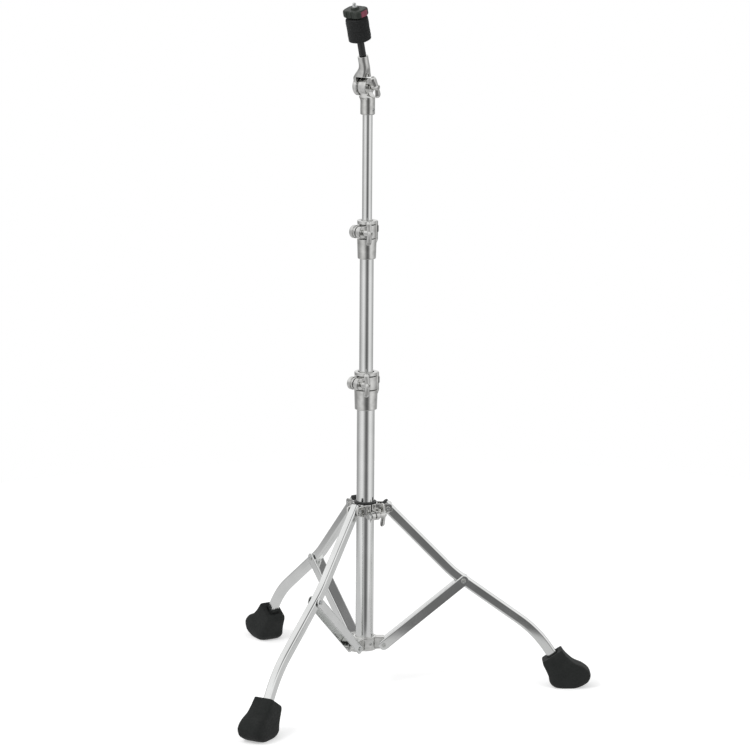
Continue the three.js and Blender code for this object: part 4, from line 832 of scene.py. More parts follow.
def leg_path():
    points = [down(UPPER_SLOPE, -OVER_PIVOT)]
    bends = (KNEE, UPPER_SLOPE, MIDDLE_SLOPE), (ANKLE, MIDDLE_SLOPE, LOWER_SLOPE)
    for corner, before, after in bends:
        reach = BEND_RADIUS * tan(abs(radians(after - before)) / 2)
        start, stop = corner - down(before, reach), corner + down(after, reach)
        for step in range(BEND_STEPS + 1):
            t = step / BEND_STEPS
            points.append(start.lerp(corner, t).lerp(corner.lerp(stop, t), t))
    return points + [ANKLE + down(LOWER_SLOPE, LOWER_RUN + IN_FOOT)]


UPPER_PIVOT_HEIGHT = joints["leg_right_hinge"]["pos_m"][2] / MM
LOWER_PIVOT_HEIGHT = joints["brace_right_hinge"]["pos_m"][2] / MM
print("leg path has", len(leg_path()), "points")
print("pivots at", round(UPPER_PIVOT_HEIGHT, 1), "and", round(LOWER_PIVOT_HEIGHT, 1), "mm")

# %% A node tree that sweeps a section along a path
def new_tree(name, **sizes):
    """A geometry node tree with one geometry input and named inputs of its own."""
    kinds = {
        float: "NodeSocketFloat", int: "NodeSocketInt",
        bpy.types.Material: "NodeSocketMaterial", bpy.types.Object: "NodeSocketObject",
    }
    made = bpy.data.node_groups.new(name, "GeometryNodeTree")
    for way in ("INPUT", "OUTPUT"):
        made.interface.new_socket("Geometry", in_out=way, socket_type="NodeSocketGeometry")
    for label, value in sizes.items():
        made.interface.new_socket(
            label.replace("_", " "), in_out="INPUT", socket_type=kinds[type(value)]
        )
    return made, made.nodes.new("NodeGroupInput").outputs


def end_tree(tree, geometry, finish):
    whole = node_of(tree, "GeometryNodeRealizeInstances", None, Geometry=geometry)
    painted = node_of(
        tree, "GeometryNodeSetMaterial", None, Geometry=whole.outputs[0], Material=finish
    )
    tree.links.new(painted.outputs[0], tree.nodes.new("NodeGroupOutput").inputs[0])


def grown(source, tree, **sizes):
    """Runs a tree on an object with its named inputs set, and returns the plain mesh."""
    step = source.modifiers.new("grow", "NODES")
    step.node_group = tree
    named = {
        item.name: item.identifier
        for item in tree.interface.items_tree if item.in_out == "INPUT"
    }
    for label, value in sizes.items():
        step[named[label.replace("_", " ")]] = value
    source.update_tag()
    bpy.context.view_layer.update()
    made = evaluated(source)
    bpy.data.objects.remove(source)
    return made


sweep, given = new_tree("swept_section", Width=1.0, Depth=1.0, Corner=1.0, Finish=CHROME_LEG)
box = node_of(
    sweep, "GeometryNodeCurvePrimitiveQuadrilateral", {"mode": "RECTANGLE"},
    Width=given["Width"], Height=given["Depth"],
)
corners = node_of(
    sweep, "GeometryNodeFilletCurve", {"mode": "POLY"},
    Curve=box.outputs[0], Count=7, Radius=given["Corner"],
)
swept = node_of(
    sweep, "GeometryNodeCurveToMesh", None,
    Curve=given["Geometry"], Profile_Curve=corners.outputs[0], Fill_Caps=True,
)
shaded = node_of(sweep, "GeometryNodeSetShadeSmooth", None, Geometry=swept.outputs[0])
end_tree(sweep, shaded.outputs[0], given["Finish"])

# %% Bend and plate the legs
def path_curve(points):
    data = bpy.data.curves.new("path", "CURVE")
    data.dimensions = "3D"
    data.twist_mode = "Z_UP"
    line = data.splines.new("POLY")
    line.points.add(len(points) - 1)
    for spot, place in zip(line.points, points):
        spot.co = (*place, 1)
    return data


def leg_place(name):
    return standing(UPPER_PIVOT_HEIGHT, LEG_ANGLES[name], UPPER_PIVOT_OUT)


for name in LEG_NAMES:
    tube = grown(
        added("leg_path", path_curve(leg_path())), sweep,
        Width=LEG_WIDTH, Depth=LEG_DEPTH, Corner=LEG_CORNER, Finish=CHROME_LEG,
    )
    placed(tube, leg_place(name))
    piece = finish_piece("leg_tube_" + name, tube, CHROME_LEG, ["leg_" + name], angle=50)
print("leg", len(piece.data.vertices), "points")

# %% [markdown]
# ## Caps and rubber boots
# A black nylon cap closes the top of each leg. It is pressed in with a stem, and its
# crown is domed, so it is built as a skin over shrinking copies of the leg's own section.
#
# The boot is moulded rubber. Seen from its side it is a shoe: a collar round the leg, a
# straight heel and a long toe, all with a boxy section and soft corners that get rounder
# towards the sole. One skin over many rings says this well. Each ring lies between a heel
# point and a toe point that were read off the photograph, and rings in between are
# interpolated with a smooth curve. The collar turns inwards with a thick lip and goes
# down into the mouth, where it grips the leg.

# %% Cap the legs
# Inset from the leg's own section, and height over the leg's end, in millimetres
CAP_ROWS = [
    (1.9, -3.4), (1.9, 0.0), (0.12, 0.0), (0.0, 0.2), (0.05, 0.7),
    (0.6, 1.3), (1.8, 2.1), (3.2, 2.8), (4.6, 3.2),
]


def cap_ring(inset, height):
    x, y = LEG_WIDTH / 2 - inset, LEG_DEPTH / 2 - inset
    flat = softened(oblong(-x, -y, x, y), max(LEG_CORNER - inset, 0.3), 6)
    return [(px, py, height) for px, py in flat]


def cap_place(name):
    start = down(UPPER_SLOPE, -OVER_PIVOT - GAP)
    return leg_place(name) @ shift(*start) @ spin("Y", UPPER_SLOPE - 90) @ spin("Z", 90)


for name in LEG_NAMES:
    cap = placed(skin([cap_ring(*row) for row in CAP_ROWS]), cap_place(name))
    finish_piece("leg_end_cap_" + name, cap, BLACK_NYLON, ["leg_cap_" + name])
print("caps", CAP_ROWS[-1][1], "mm thick")

# %% Rings of the boot
# Heel reach and height, toe reach and height, half width and boxiness, in millimetres
BOOT_ROWS = [
    (0.0, 42.9, 30.6, 62.7, 15.6, 9.0),
    (0.0, 41.2, 31.6, 61.4, 16.6, 9.0),
    (1.2, 36.6, 34.0, 57.8, 17.6, 8.0),
    (4.4, 30.2, 39.4, 51.6, 18.6, 7.0),
    (8.4, 21.6, 50.6, 42.2, 19.8, 6.5),
    (10.6, 15.6, 65.6, 35.4, 21.2, 6.0),
    (11.4, 12.0, 75.0, 27.6, 22.2, 5.5),
    (11.8, 8.4, 77.6, 20.0, 22.6, 5.0),
    (15.2, 3.8, 74.2, 10.4, 21.6, 4.6),
    (20.0, 0.9, 64.0, 3.2, 19.2, 4.2),
    (25.0, 0.0, 56.0, 0.0, 16.8, 4.0),
]
# Half length, half width, boxiness, and how far the ring is sunk into the mouth
MOUTH_ROWS = [
    (15.6, 13.6, 9, 0.15), (10.9, 9.1, 7, 0.2), (10.5, 8.7, 6, 0.4), (10.3, 8.5, 6, 1.2),
    (10.0, 8.2, 6, 1.45), (8.9, 7.1, 6, 1.6), (8.5, 6.75, 6, 2.0), (8.5, 6.75, 6, 14),
]
MOUTH_MIDDLE = Vector((15.4, 0, 52.9))
LEG_MOUTH_RUN = 1.3  # the mouth is this much further down the leg than the solid's
BOOT_POINTS = 72


def between_rows(rows, steps):
    """Rows interpolated with a Catmull-Rom curve."""
    made, row = [], [rows[0], *rows, rows[-1]]
    for a, b, c, d in zip(row, row[1:], row[2:], row[3:]):
        for step in range(steps):
            t = step / steps
            made.append(tuple(
                0.5 * (
                    2 * q + (r - p) * t + (2 * p - 5 * q + 4 * r - s) * t * t
                    + (3 * q - p - 3 * r + s) * t ** 3
                )
                for p, q, r, s in zip(a, b, c, d)
            ))
    return made + [rows[-1]]


def boot_ring(row):
    heel_x, heel_z, toe_x, toe_z, half, boxiness = row
    ring = []
    for x, y in ring_outline(BOOT_POINTS, boxiness):
        share = (x + 1) / 2
        ring.append((
            heel_x + share * (toe_x - heel_x), y * half, heel_z + share * (toe_z - heel_z),
        ))
    return ring


def mouth_ring(long, wide, boxiness, sunk):
    """A ring in the plane of the mouth, sunk some way down the leg."""
    lean = radians(90 - LOWER_SLOPE)
    centre = MOUTH_MIDDLE + down(LOWER_SLOPE, sunk)
    return [
        (centre.x + x * long * cos(lean), y * wide, centre.z + x * long * sin(lean))
        for x, y in ring_outline(BOOT_POINTS, boxiness)
    ]


def boot_shape():
    outside = [boot_ring(row) for row in between_rows(BOOT_ROWS, 5)]
    return skin(outside[::-1] + [mouth_ring(*row) for row in MOUTH_ROWS])


# %% Mould the boots
def boot_place(name):
    spot = ANKLE + down(LOWER_SLOPE, LOWER_RUN) + down(LOWER_SLOPE, LEG_MOUTH_RUN)
    return leg_place(name) @ shift(spot.x - MOUTH_MIDDLE.x, 0, -UPPER_PIVOT_HEIGHT)


for name in LEG_NAMES:
    piece = finish_piece(
        "boot_" + name, placed(boot_shape(), boot_place(name)), BOOT_RUBBER,
        ["foot_" + name], angle=60, flat_faces=False,
    )
lowest = min(point.co.z for point in piece.data.vertices)
print("boot", len(piece.data.vertices), "points; lowest", round(lowest, 5))

# %% [markdown]
# ## The braces
# A brace is a strip of steel folded into a channel, with round ends and a cut back web so
# that the leg and the tongue fit between its cheeks. It hangs on one rivet at the fixed
# collar and on two short rivets at the leg. The channel is made as it is in the press:
# the folded strip first, then its side outline and its web notches are cut. The web lies
# on top. A small bevel breaks the sheet's edges, which catch a bright line of light in
# the photograph.

# %% Fold and cut a brace
BRACE_SHEET, BRACE_DEPTH, BRACE_BEND, SHEET_EDGE = 1.6, 16, 2.4, 0.3
BRACE_HALF = LEG_WIDTH / 2 + 1.5 + BRACE_SHEET
RIVET_SHANK, RIVET_HEAD, RIVET_PROUD = 2.4, 3.7, 1.4
PAST_BEND = 20
WEB_TO_LEG, WEB_TO_COLLAR = 12, 6  # how far from each rivet the web ends
FACING_OUT = Matrix(((0, 0, 1, 0), (1, 0, 0, 0), (0, 1, 0, 0), (0, 0, 0, 1)))  # Z onto X
upper_pivot = Vector((UPPER_PIVOT_OUT, 0, UPPER_PIVOT_HEIGHT))
lower_pivot = Vector((LOWER_PIVOT_OUT, 0, LOWER_PIVOT_HEIGHT))
brace_line = upper_pivot + KNEE + down(MIDDLE_SLOPE, PAST_BEND) - lower_pivot
BRACE_SPAN = brace_line.length
BRACE_LEAN = atan2(brace_line.z, brace_line.x)


def brace_shape():
    half, end = BRACE_HALF, BRACE_DEPTH / 2
    inner, web = half - BRACE_SHEET, BRACE_SHEET - end
    bend, tight, edge = BRACE_BEND, BRACE_BEND - BRACE_SHEET, SHEET_EDGE
    outline = softened(
        [(-half, end), (-half, -end), (half, -end), (half, end),
         (inner, end), (inner, web), (-inner, web), (-inner, end)],
        [edge, bend, bend, edge, edge, tight, tight, edge], 5,
    )
    channel = placed(slab(outline, -end, BRACE_SPAN + end), FACING_OUT)
    side = arc(0, 0, end, 90, 270, 24) + arc(BRACE_SPAN, 0, end, -90, 90, 24)
    outer = upright(side, -half - 2, half + 2)

    def notch(centre, stop):
        """Cuts the web from a hollow edge to past the brace's end."""
        way = 1 if stop > centre else -1
        hollow = arc(0, 0, inner, 90 * way, 90 * way + 180, 24)
        reach = [(centre + x / 2, y) for x, y in hollow]
        reach += [(stop, -way * inner), (stop, way * inner)]
        return slab(reach, -end - 2, web + tight)

    near_leg = notch(BRACE_SPAN - WEB_TO_LEG + inner / 2, BRACE_SPAN + end + 3)
    near_collar = notch(WEB_TO_COLLAR - inner / 2, -end - 3)
    holes = [
        across(cylinder(RIVET_SHANK + GAP, -2 * half, 2 * half, 40), x)
        for x in (0, BRACE_SPAN)
    ]
    brace = machined(channel, common=[outer])
    brace = machined(brace, cuts=[near_leg, near_collar, *holes])
    return placed(brace, spin("X", 180))  # the web lies on top


def brace_place(name):
    lean = Matrix.Rotation(-BRACE_LEAN, 4, "Y")
    return standing(LOWER_PIVOT_HEIGHT, LEG_ANGLES[name], LOWER_PIVOT_OUT) @ lean


folded = cleaned(brace_shape())
for name in LEG_NAMES:
    finish_piece(
        "folded_brace_" + name, placed(folded.copy(), brace_place(name)), CHROME_LEG,
        ["brace_" + name], edge_mm=0.25, angle=35,
    )
print("brace", round(BRACE_SPAN, 1), "mm between rivets")
print("it leans", round(BRACE_LEAN * 180 / pi, 1), "degrees")

# %% [markdown]
# ## Rivets
# Every pivot is a tubular rivet: a flat head with a rounded rim and a dimple in the
# middle, on a shank. One rivet shape is placed many times, which is what a Geometry Nodes
# tree does well. The points to rivet are the corners of a small carrier mesh, and each
# point's own direction says which way its rivet faces. The tree's named inputs are the
# rivet to place and its finish. The result is one plain mesh for each moving body.

# %% A tree that places one shape on directed points
placing, given = new_tree("placed_on_points", Shape=camera, Finish=ZINC_PLATE)
shape_of = node_of(placing, "GeometryNodeObjectInfo", None, Object=given["Shape"])
facing = node_of(
    placing, "GeometryNodeInputNamedAttribute", {"data_type": "FLOAT_VECTOR"}, Name="facing"
)
aim = node_of(
    placing, "FunctionNodeAlignRotationToVector", {"axis": "Z"}, Vector=facing.outputs[0]
)
spread = node_of(
    placing, "GeometryNodeInstanceOnPoints", None,
    Points=given["Geometry"], Instance=shape_of.outputs["Geometry"], Rotation=aim.outputs[0],
)
end_tree(placing, spread.outputs[0], given["Finish"])


def on_points(shape, spots, finish):
    """Copies of a shape at spots of (point, direction), as one mesh."""
    data = bpy.data.meshes.new("spots")
    data.from_pydata([tuple(point) for point, _ in spots], [], [])
    way = data.attributes.new("facing", "FLOAT_VECTOR", "POINT")
    way.data.foreach_set("vector", [value for _, direction in spots for value in direction])
    pattern = added("pattern", shape)
    made = grown(added("spots", data), placing, Shape=pattern, Finish=finish)
    bpy.data.objects.remove(pattern)
    return made


def rivet_shape(grip, shank_from):
    """A rivet along Z with its head's underside at the grip height."""
    face = grip + RIVET_PROUD
    dimple = face - 1.0
    profile = [
        (0, shank_from), (RIVET_SHANK, shank_from), (RIVET_SHANK, grip), (RIVET_HEAD, grip),
        (RIVET_HEAD, face), (1.6, face), (1.35, dimple), (0, dimple),
    ]
    return turned(softened(profile, [0, 0.2, 0.1, 0.15, 0.75, 0.3, 0.3, 0], 5), 48)


def two_sided(place):
    """The two level directions along a pivot."""
    return [(place.translation, place.to_3x3() @ Vector((0, y, 0))) for y in (1, -1)]


def rivets(name, spots, half, shank_from, replaced):
    """Rivets on the outside of cheeks that lie half a width from the pivot's middle."""
    mesh = on_points(rivet_shape(half + GAP, shank_from), spots, ZINC_PLATE)
    finish_piece(name, mesh, ZINC_PLATE, replaced, flat_faces=False)


EAR_THICK = 3.3
EAR_OUTSIDE = LEG_WIDTH / 2 + 0.6 + EAR_THICK
lower_spots, upper_spots = [], []
for name in LEG_NAMES:
    upper_spots += two_sided(leg_place(name))
    lower_spots += two_sided(standing(LOWER_PIVOT_HEIGHT, LEG_ANGLES[name], LOWER_PIVOT_OUT))
    rivets(
        "leg_rivets_" + name, two_sided(brace_place(name) @ shift(BRACE_SPAN)),
        BRACE_HALF, BRACE_HALF - BRACE_SHEET,
        ["middle_rivet_left_" + name, "middle_rivet_right_" + name],
    )
uppers = ["upper_rivet_" + name for name in LEG_NAMES]
lowers = ["lower_rivet_" + name for name in LEG_NAMES]
rivets("collar_rivets", upper_spots, EAR_OUTSIDE, 0, uppers)
rivets("foot_rivets", lower_spots, BRACE_HALF, 0, lowers)
print("rivet heads", len(upper_spots) + len(lower_spots) + 2 * len(LEG_NAMES))

# %% [markdown]
# ## Castings
# The collars, clamps, tilter arms and wing bolts are zinc castings. Molten metal can't
# fill a knife edge, tumbling rubs the corners round, and the plate rounds them again, so
# every inner corner has a small fillet and every outer one a small round. Here each
# casting is first joined and cut from exact shapes. A fine voxel skin is then drawn over
# it and relaxed a little, which gives all its corners their fillets at once.

# %% A casting's soft skin
VOXEL, FINE_VOXEL = 0.42, 0.34
RELAXED = 5


def cast_skin(mesh, voxel_mm=VOXEL, rounds=RELAXED):
    casting = added("casting", mesh)
    skin_step = casting.modifiers.new("skin", "REMESH")
    skin_step.mode, skin_step.voxel_size = "VOXEL", voxel_mm
    relax = casting.modifiers.new("tumbled", "SMOOTH")
    relax.factor, relax.iterations = 0.5, rounds
    made = evaluated(casting)
    bpy.data.objects.remove(casting)
    return made


def cast_piece(name, mesh, place, node):
    return soft_piece(name, placed(cast_skin(mesh), place), CAST_PLATE, [node])


def sunk_panels(outline, face, deep):
    """Tools that sink an outline into both faces of a rib."""
    return [upright(outline, face - deep, face + 3), upright(outline, -face - 3, deep - face)]


# %% [markdown]
# ### The fixed collar and its screw
# The fixed collar at the foot has three tongues that the braces hang on. Each tongue is a
# slab with a recessed panel on each side, which saves metal, and a round end under the
# rivet. A headless screw with a hex socket holds the collar on the tube.

# %% Cast the fixed collar
FIXED_TALL, FIXED_WALL, FIXED_EDGE, UNDER_PIVOT = 22, 4.4, 1.1, 8
FIXED_BORE = base_radius + GAP
FIXED_OUT = FIXED_BORE + FIXED_WALL
FIXED_FOOT = LOWER_PIVOT_HEIGHT - UNDER_PIVOT
LUG_ANGLE = 300
SCREW_RADIUS, SCREW_SUNK = 2.4, 0.5


def fixed_collar_shape():
    profile = oblong(FIXED_BORE, 0, FIXED_OUT, FIXED_TALL)
    barrel = turned(softened(profile, [0.4, FIXED_EDGE, FIXED_EDGE, 0.4]), 144)
    root, half, tip = (FIXED_BORE + FIXED_OUT) / 2, BRACE_HALF - BRACE_SHEET - GAP, 6
    side = [(root, FIXED_EDGE), (LOWER_PIVOT_OUT, UNDER_PIVOT - tip)]
    side += arc(LOWER_PIVOT_OUT, UNDER_PIVOT, tip, -90, 30, 14)
    side += [(LOWER_PIVOT_OUT, FIXED_TALL - FIXED_EDGE), (root, FIXED_TALL - FIXED_EDGE)]
    x, y = (LOWER_PIVOT_OUT - tip + FIXED_OUT) / 2, FIXED_TALL / 2
    wide, tall = (LOWER_PIVOT_OUT - FIXED_OUT) / 2, (FIXED_TALL - tip) / 2
    window = softened(oblong(x - wide, y - tall, x + wide, y + tall), 2.2, 5)
    joins, cuts = [], []
    for degrees in LEG_ANGLES.values():
        joins.append(spun(upright(side, -half, half, 0.6), degrees))
        hole = hole_across(RIVET_SHANK + GAP, 2 * half, LOWER_PIVOT_OUT, UNDER_PIVOT)
        for tool in (*sunk_panels(window, half, 0.9), hole):
            cuts.append(spun(tool, degrees))
    cuts.append(cylinder(FIXED_BORE, -3, FIXED_TALL + 3, 144))
    tapped = cylinder(SCREW_RADIUS + GAP, FIXED_BORE - 1, FIXED_OUT + 3, 48)
    tapped = placed(placed(tapped, spin("Y", 90)), shift(z=FIXED_TALL / 2))
    return machined(barrel, joins, [*cuts, spun(tapped, LUG_ANGLE)])


cast_piece("fixed_collar", fixed_collar_shape(), standing(FIXED_FOOT), "lower_collar")

# %% Turn the socket screws
def socket_screw_shape(length):
    profile = [
        (0, 0), (SCREW_RADIUS - 0.3, 0), (SCREW_RADIUS, 0.5), (SCREW_RADIUS, length),
        (0, length),
    ]
    body = turned(softened(profile, [0, 0.1, 0.1, 0.45, 0]), 48)
    return machined(body, cuts=[cylinder(1.25, length * 0.45, length + 2, 6)])


def set_screw(name, place, length, node):
    mesh = placed(cleaned(socket_screw_shape(length)), place)
    finish_piece(name, mesh, ZINC_PLATE, [node], edge_mm=0.12, angle=40)
    print(name, round(length, 1), "mm long")


screw_place = standing(FIXED_FOOT + FIXED_TALL / 2, LUG_ANGLE, FIXED_BORE) @ spin("Y", 90)
screw_long = FIXED_OUT - SCREW_SUNK - FIXED_BORE
set_screw("collar_socket_screw", screw_place, screw_long, "lower_collar_screw")

# %% [markdown]
# ### The sliding collar
# The sliding collar is a split ring with three pairs of ears for the legs. A round lug
# across the split takes the wing bolt. Its front is a flat panel with two shallow windows
# between raised frames, which mirror the dark room. The black bushing inside it shows as
# a thin round flange on top.

# %% Cast the sliding collar
SLIDE_TALL, SLIDE_OVER, SLIDE_WALL, SPLIT = 20, 8, 2.6, 1.8
BUSHING_OUT = base_radius + GAP + 2
SLIDE_BORE = BUSHING_OUT + GAP
SLIDE_OUT = SLIDE_BORE + SLIDE_WALL
SLIDE_TOP = UPPER_PIVOT_HEIGHT + SLIDE_OVER
EAR_REACH, EAR_CORNER = 6.6, 3.5
BOLT_RADIUS = 3
COLLAR_BOLT_DOWN, COLLAR_LUG, COLLAR_LUG_HALF = 16, 7, 7.2
COLLAR_BOLT_OUT = SLIDE_OUT + 9.3
PANEL_AT, PANEL_HALF = 270, 7.4


def lug_shape(out, height, radius, near, far, root, edge=0.7):
    """A lug with a round end, across a bolt along Y."""
    round_end = arc(out, height, radius, -90, 90, 28)
    side = [(root, height - radius), *round_end, (root, height + radius)]
    return upright(side, -near, far, edge)


def sliding_collar_shape():
    profile = oblong(SLIDE_BORE, -SLIDE_TALL, SLIDE_OUT, 0)
    barrel = turned(softened(profile, [0.3, 0.8, 0.8, 0.3]), 144)
    tip, root, foot = UPPER_PIVOT_OUT + EAR_REACH, SLIDE_BORE / 2, -2 * SLIDE_OVER
    side = softened([
        (root, foot - EAR_CORNER), (SLIDE_OUT + EAR_CORNER, foot), (tip, foot), (tip, 0),
        (root, 0),
    ], [0, 4, 5.5, 5.5, 0], 8)
    window = oblong(SLIDE_OUT + 2.2, -3.2, UPPER_PIVOT_OUT - 5.4, -12.6)
    window = softened(window, 1.2, 4)
    joins, cuts = [], []
    inside = EAR_OUTSIDE - EAR_THICK
    for degrees in LEG_ANGLES.values():
        for near, far in ((inside, EAR_OUTSIDE), (-EAR_OUTSIDE, -inside)):
            joins.append(spun(upright(side, near, far, 0.5), degrees))
        hole = hole_across(RIVET_SHANK + GAP, 2 * EAR_OUTSIDE, UPPER_PIVOT_OUT, -SLIDE_OVER)
        for tool in (*sunk_panels(window, EAR_OUTSIDE, 0.7), hole):
            cuts.append(spun(tool, degrees))
    half, down_to = COLLAR_LUG_HALF, -COLLAR_BOLT_DOWN
    lug = lug_shape(COLLAR_BOLT_OUT, down_to, COLLAR_LUG, half, half, root)
    front = oblong(-PANEL_HALF, 1 - SLIDE_TALL, PANEL_HALF, -1.6)
    front = slab(front, SLIDE_BORE + 1, SLIDE_OUT + 0.9, 0.5)
    joins += [spun(lug, LUG_ANGLE), spun(placed(front, FACING_OUT), PANEL_AT)]
    for left, right in ((0.9 - PANEL_HALF, 1.9), (2.9, PANEL_HALF - 0.7)):
        pane = oblong(left, 2.6 - SLIDE_TALL, right, -2.9)
        pane = slab(pane, SLIDE_OUT - 0.9, SLIDE_OUT + 4)
        cuts.append(spun(placed(pane, FACING_OUT), PANEL_AT))
    for start in (-half - 3.2, half - 0.8):
        dish = across(cylinder(4.6, 0, 4, 48), COLLAR_BOLT_OUT, start, down_to)
        cuts.append(spun(dish, LUG_ANGLE))
    bolt_hole = hole_across(BOLT_RADIUS + GAP, 40, COLLAR_BOLT_OUT, down_to)
    split = slab(oblong(0, -SPLIT / 2, 60, SPLIT / 2), -60, 4)
    cuts.append(cylinder(SLIDE_BORE, -SLIDE_TALL - 9, 4, 144))
    return machined(barrel, joins, [*cuts, spun(bolt_hole, LUG_ANGLE), spun(split, LUG_ANGLE)])


cast_piece("sliding_collar", sliding_collar_shape(), standing(SLIDE_TOP), "leg_collar")

# %% Mould its bushing
FLANGE_OUT, FLANGE_TALL = BUSHING_OUT + 1.3, 2.9
bushing_profile = [
    (FIXED_BORE, -SLIDE_TALL), (BUSHING_OUT, -SLIDE_TALL), (BUSHING_OUT, GAP),
    (FLANGE_OUT, GAP), (FLANGE_OUT, FLANGE_TALL), (FIXED_BORE, FLANGE_TALL),
]
bushing = turned(softened(bushing_profile, [0.2, 0.3, 0.2, 0.9, 1.3, 0.8], 6), 144)
placed(bushing, standing(SLIDE_TOP))
finish_piece("sliding_collar_bushing", bushing, BLACK_NYLON, ["leg_collar_bushing"])
print("flange radius", round(FLANGE_OUT, 2), "mm")

# %% [markdown]
# ### Wing bolts
# A wing bolt has its cast wing poured round the head of a steel bolt. The wing is a bar
# with full round ends and a narrower waist, swept back a little towards its ends. Broad
# bevels leave a narrow flat front, which is why one half of it looks dark and the other
# bright. The nose in the middle has a hex socket. The bar is a skin over sections along
# its length. The thread is a swept curve, from the same Geometry Nodes tree as the legs.

# %% Shape a wing bolt
WING_LONG, WING_WIDE, WING_WAIST, WING_THICK = 38, 9.4, 8, 6.2
WING_SIDE, WING_FRONT = 1.7, 5.2  # height of the bar's sides and of its flat front
WING_LIFT, WING_SWEEP = 1.3, 2.5
HUB, ROOT, NOSE, NOSE_TALL, SOCKET = 4.8, 4.2, 3.6, 1.2, 2
THREAD_PITCH, THREAD_DEPTH = 1.25, 0.5


def wing_bar(hub, wide):
    half, end = WING_LONG / 2, wide / 2
    straight, rings = half - end, []
    for x in [-half * cos(pi * i / 36) for i in range(37)]:
        waist = WING_WAIST / 2 + (end - WING_WAIST / 2) * min(abs(x) / straight, 1)
        past = max(abs(x) - straight, 0) / end
        width = max(waist * (1 - past ** 2) ** 0.5 if past < 1 else 0, 0.25)
        share = min(width / end, 1)
        low, front = 0.35 * (1 - share), width * 0.46
        side, tall = WING_SIDE * share ** 0.5, WING_FRONT * share ** 0.35
        outline = softened([
            (-width, low), (width, low), (width, side), (front, tall), (-front, tall),
            (-width, side),
        ], [0.6 * share] * 2 + [0.8 * share] * 4, 4)
        back = hub + WING_LIFT - WING_SWEEP * (abs(x) / half) ** 1.3
        rings.append([(x, y, back + z) for y, z in outline])
    return skin(rings)


def wing_bolt_shape(shank, hub, wide):
    face, core = hub + WING_THICK + NOSE_TALL, BOLT_RADIUS - THREAD_DEPTH
    profile = [
        (0, -shank), (core, -shank), (core, -0.4), (ROOT, 0), (ROOT + 0.2, 0.4),
        (HUB, hub / 2), (HUB, hub + 3.7), (NOSE, face), (0, face),
    ]
    spindle = turned(softened(profile, [0, 0.4, 0.2, 0.2, 0.2, 0.6, 0.8, 0.7, 0]), 72)
    hex_socket = cylinder(SOCKET, face - 2.4, face + 2, 6)
    return machined(wing_bar(hub, wide), [spindle], [hex_socket])


def helix(radius, low, rise, turns, count):
    spots = [2 * pi * turns * i / count for i in range(count + 1)]
    return path_curve([
        (radius * cos(a), radius * sin(a), low + rise * i / count)
        for i, a in enumerate(spots)
    ])


def thread(low, high, radius, depth=THREAD_DEPTH, steps=20):
    """A screw thread as one swept ridge round Z."""
    turns = (high - low - THREAD_PITCH) / THREAD_PITCH
    path = helix(
        radius - depth / 2, low + THREAD_PITCH / 2, THREAD_PITCH * turns, turns,
        int(turns * steps),
    )
    return grown(
        added("thread_path", path), sweep,
        Width=depth, Depth=THREAD_PITCH * 0.55, Corner=depth * 0.3, Finish=CAST_PLATE,
    )


def wing_bolt(name, place, shank, hub, node, wide=WING_WIDE):
    soft = cast_skin(wing_bolt_shape(shank, hub, wide), FINE_VOXEL, 4)
    mesh = placed(merged(soft, thread(-shank, -0.8, BOLT_RADIUS)), place)
    soft_piece(name, mesh, CAST_PLATE, [node])


NUT_ACROSS, NUT_TALL, NUT_CREST = 5.4, 4.6, 1.2
COLLAR_WING_OUT = 13.4  # from the middle of the lug to the wing's bar
collar_bolt = bolt_place(
    standing(SLIDE_TOP - COLLAR_BOLT_DOWN, LUG_ANGLE, COLLAR_BOLT_OUT).translation,
    LUG_ANGLE + 90,
)
wing_bolt(
    "collar_wing", collar_bolt @ shift(z=COLLAR_LUG_HALF + GAP),
    2 * COLLAR_LUG_HALF + GAP + NUT_TALL - NUT_CREST - GAP,
    COLLAR_WING_OUT - COLLAR_LUG_HALF - GAP, "leg_collar_wing_bolt",
)

# %% Form the nuts
def hexagon(radius, turn=0.0):
    spots = [pi / 3 * i + turn for i in range(6)]
    return [(radius * cos(a), radius * sin(a)) for a in spots]


def nut_shape(radius, thickness):
    """A hex nut with both its ends turned to a soft cone, open towards +Z."""
    flat, hollow, wide = radius * cos(pi / 6), BOLT_RADIUS + GAP, BOLT_RADIUS + 0.9
    cone = turned(softened([
        (0, -thickness), (flat * 0.97, -thickness), (radius + 0.2, -thickness + 1.1),
        (radius + 0.2, -0.6), (flat * 1.02, 0), (0, 0),
    ], [0, 0.2, 0.1, 0.1, 0.2, 0], 3), 72)
    bore = turned(softened([
        (0, NUT_CREST - thickness), (hollow, NUT_CREST - thickness), (hollow, -0.6),
        (wide, 0.2), (wide, 3), (0, 3),
    ], [0, 0.3, 0, 0, 0, 0]), 48)
    prism = machined(slab(hexagon(radius), -thickness, 0), common=[cone])
    return machined(prism, cuts=[bore])


def nut(name, place, radius, thickness, node):
    mesh = placed(cleaned(nut_shape(radius, thickness)), place)
    finish_piece(name, mesh, ZINC_PLATE, [node], edge_mm=0.15, angle=35)
    print(name, 2 * radius, "mm over its corners")


nut_place = collar_bolt @ shift(z=-COLLAR_LUG_HALF - GAP)
nut("collar_nut", nut_place, NUT_ACROSS, NUT_TALL, "leg_collar_nut")

# %% [markdown]
# ### Height clamps
# A height clamp is one casting: a tapered socket that is fixed on the lower tube, a band
# round the bushing of the next tube, and a rim on top. Two slits free the band from the
# rest, and a split lets it close when its wing bolt pulls the lug and the boss together.
# A black bushing shows in the mouth. At the right the clamp has an upright rib with a low
# boss. The round end of the big boss is turned with two shallow rings.

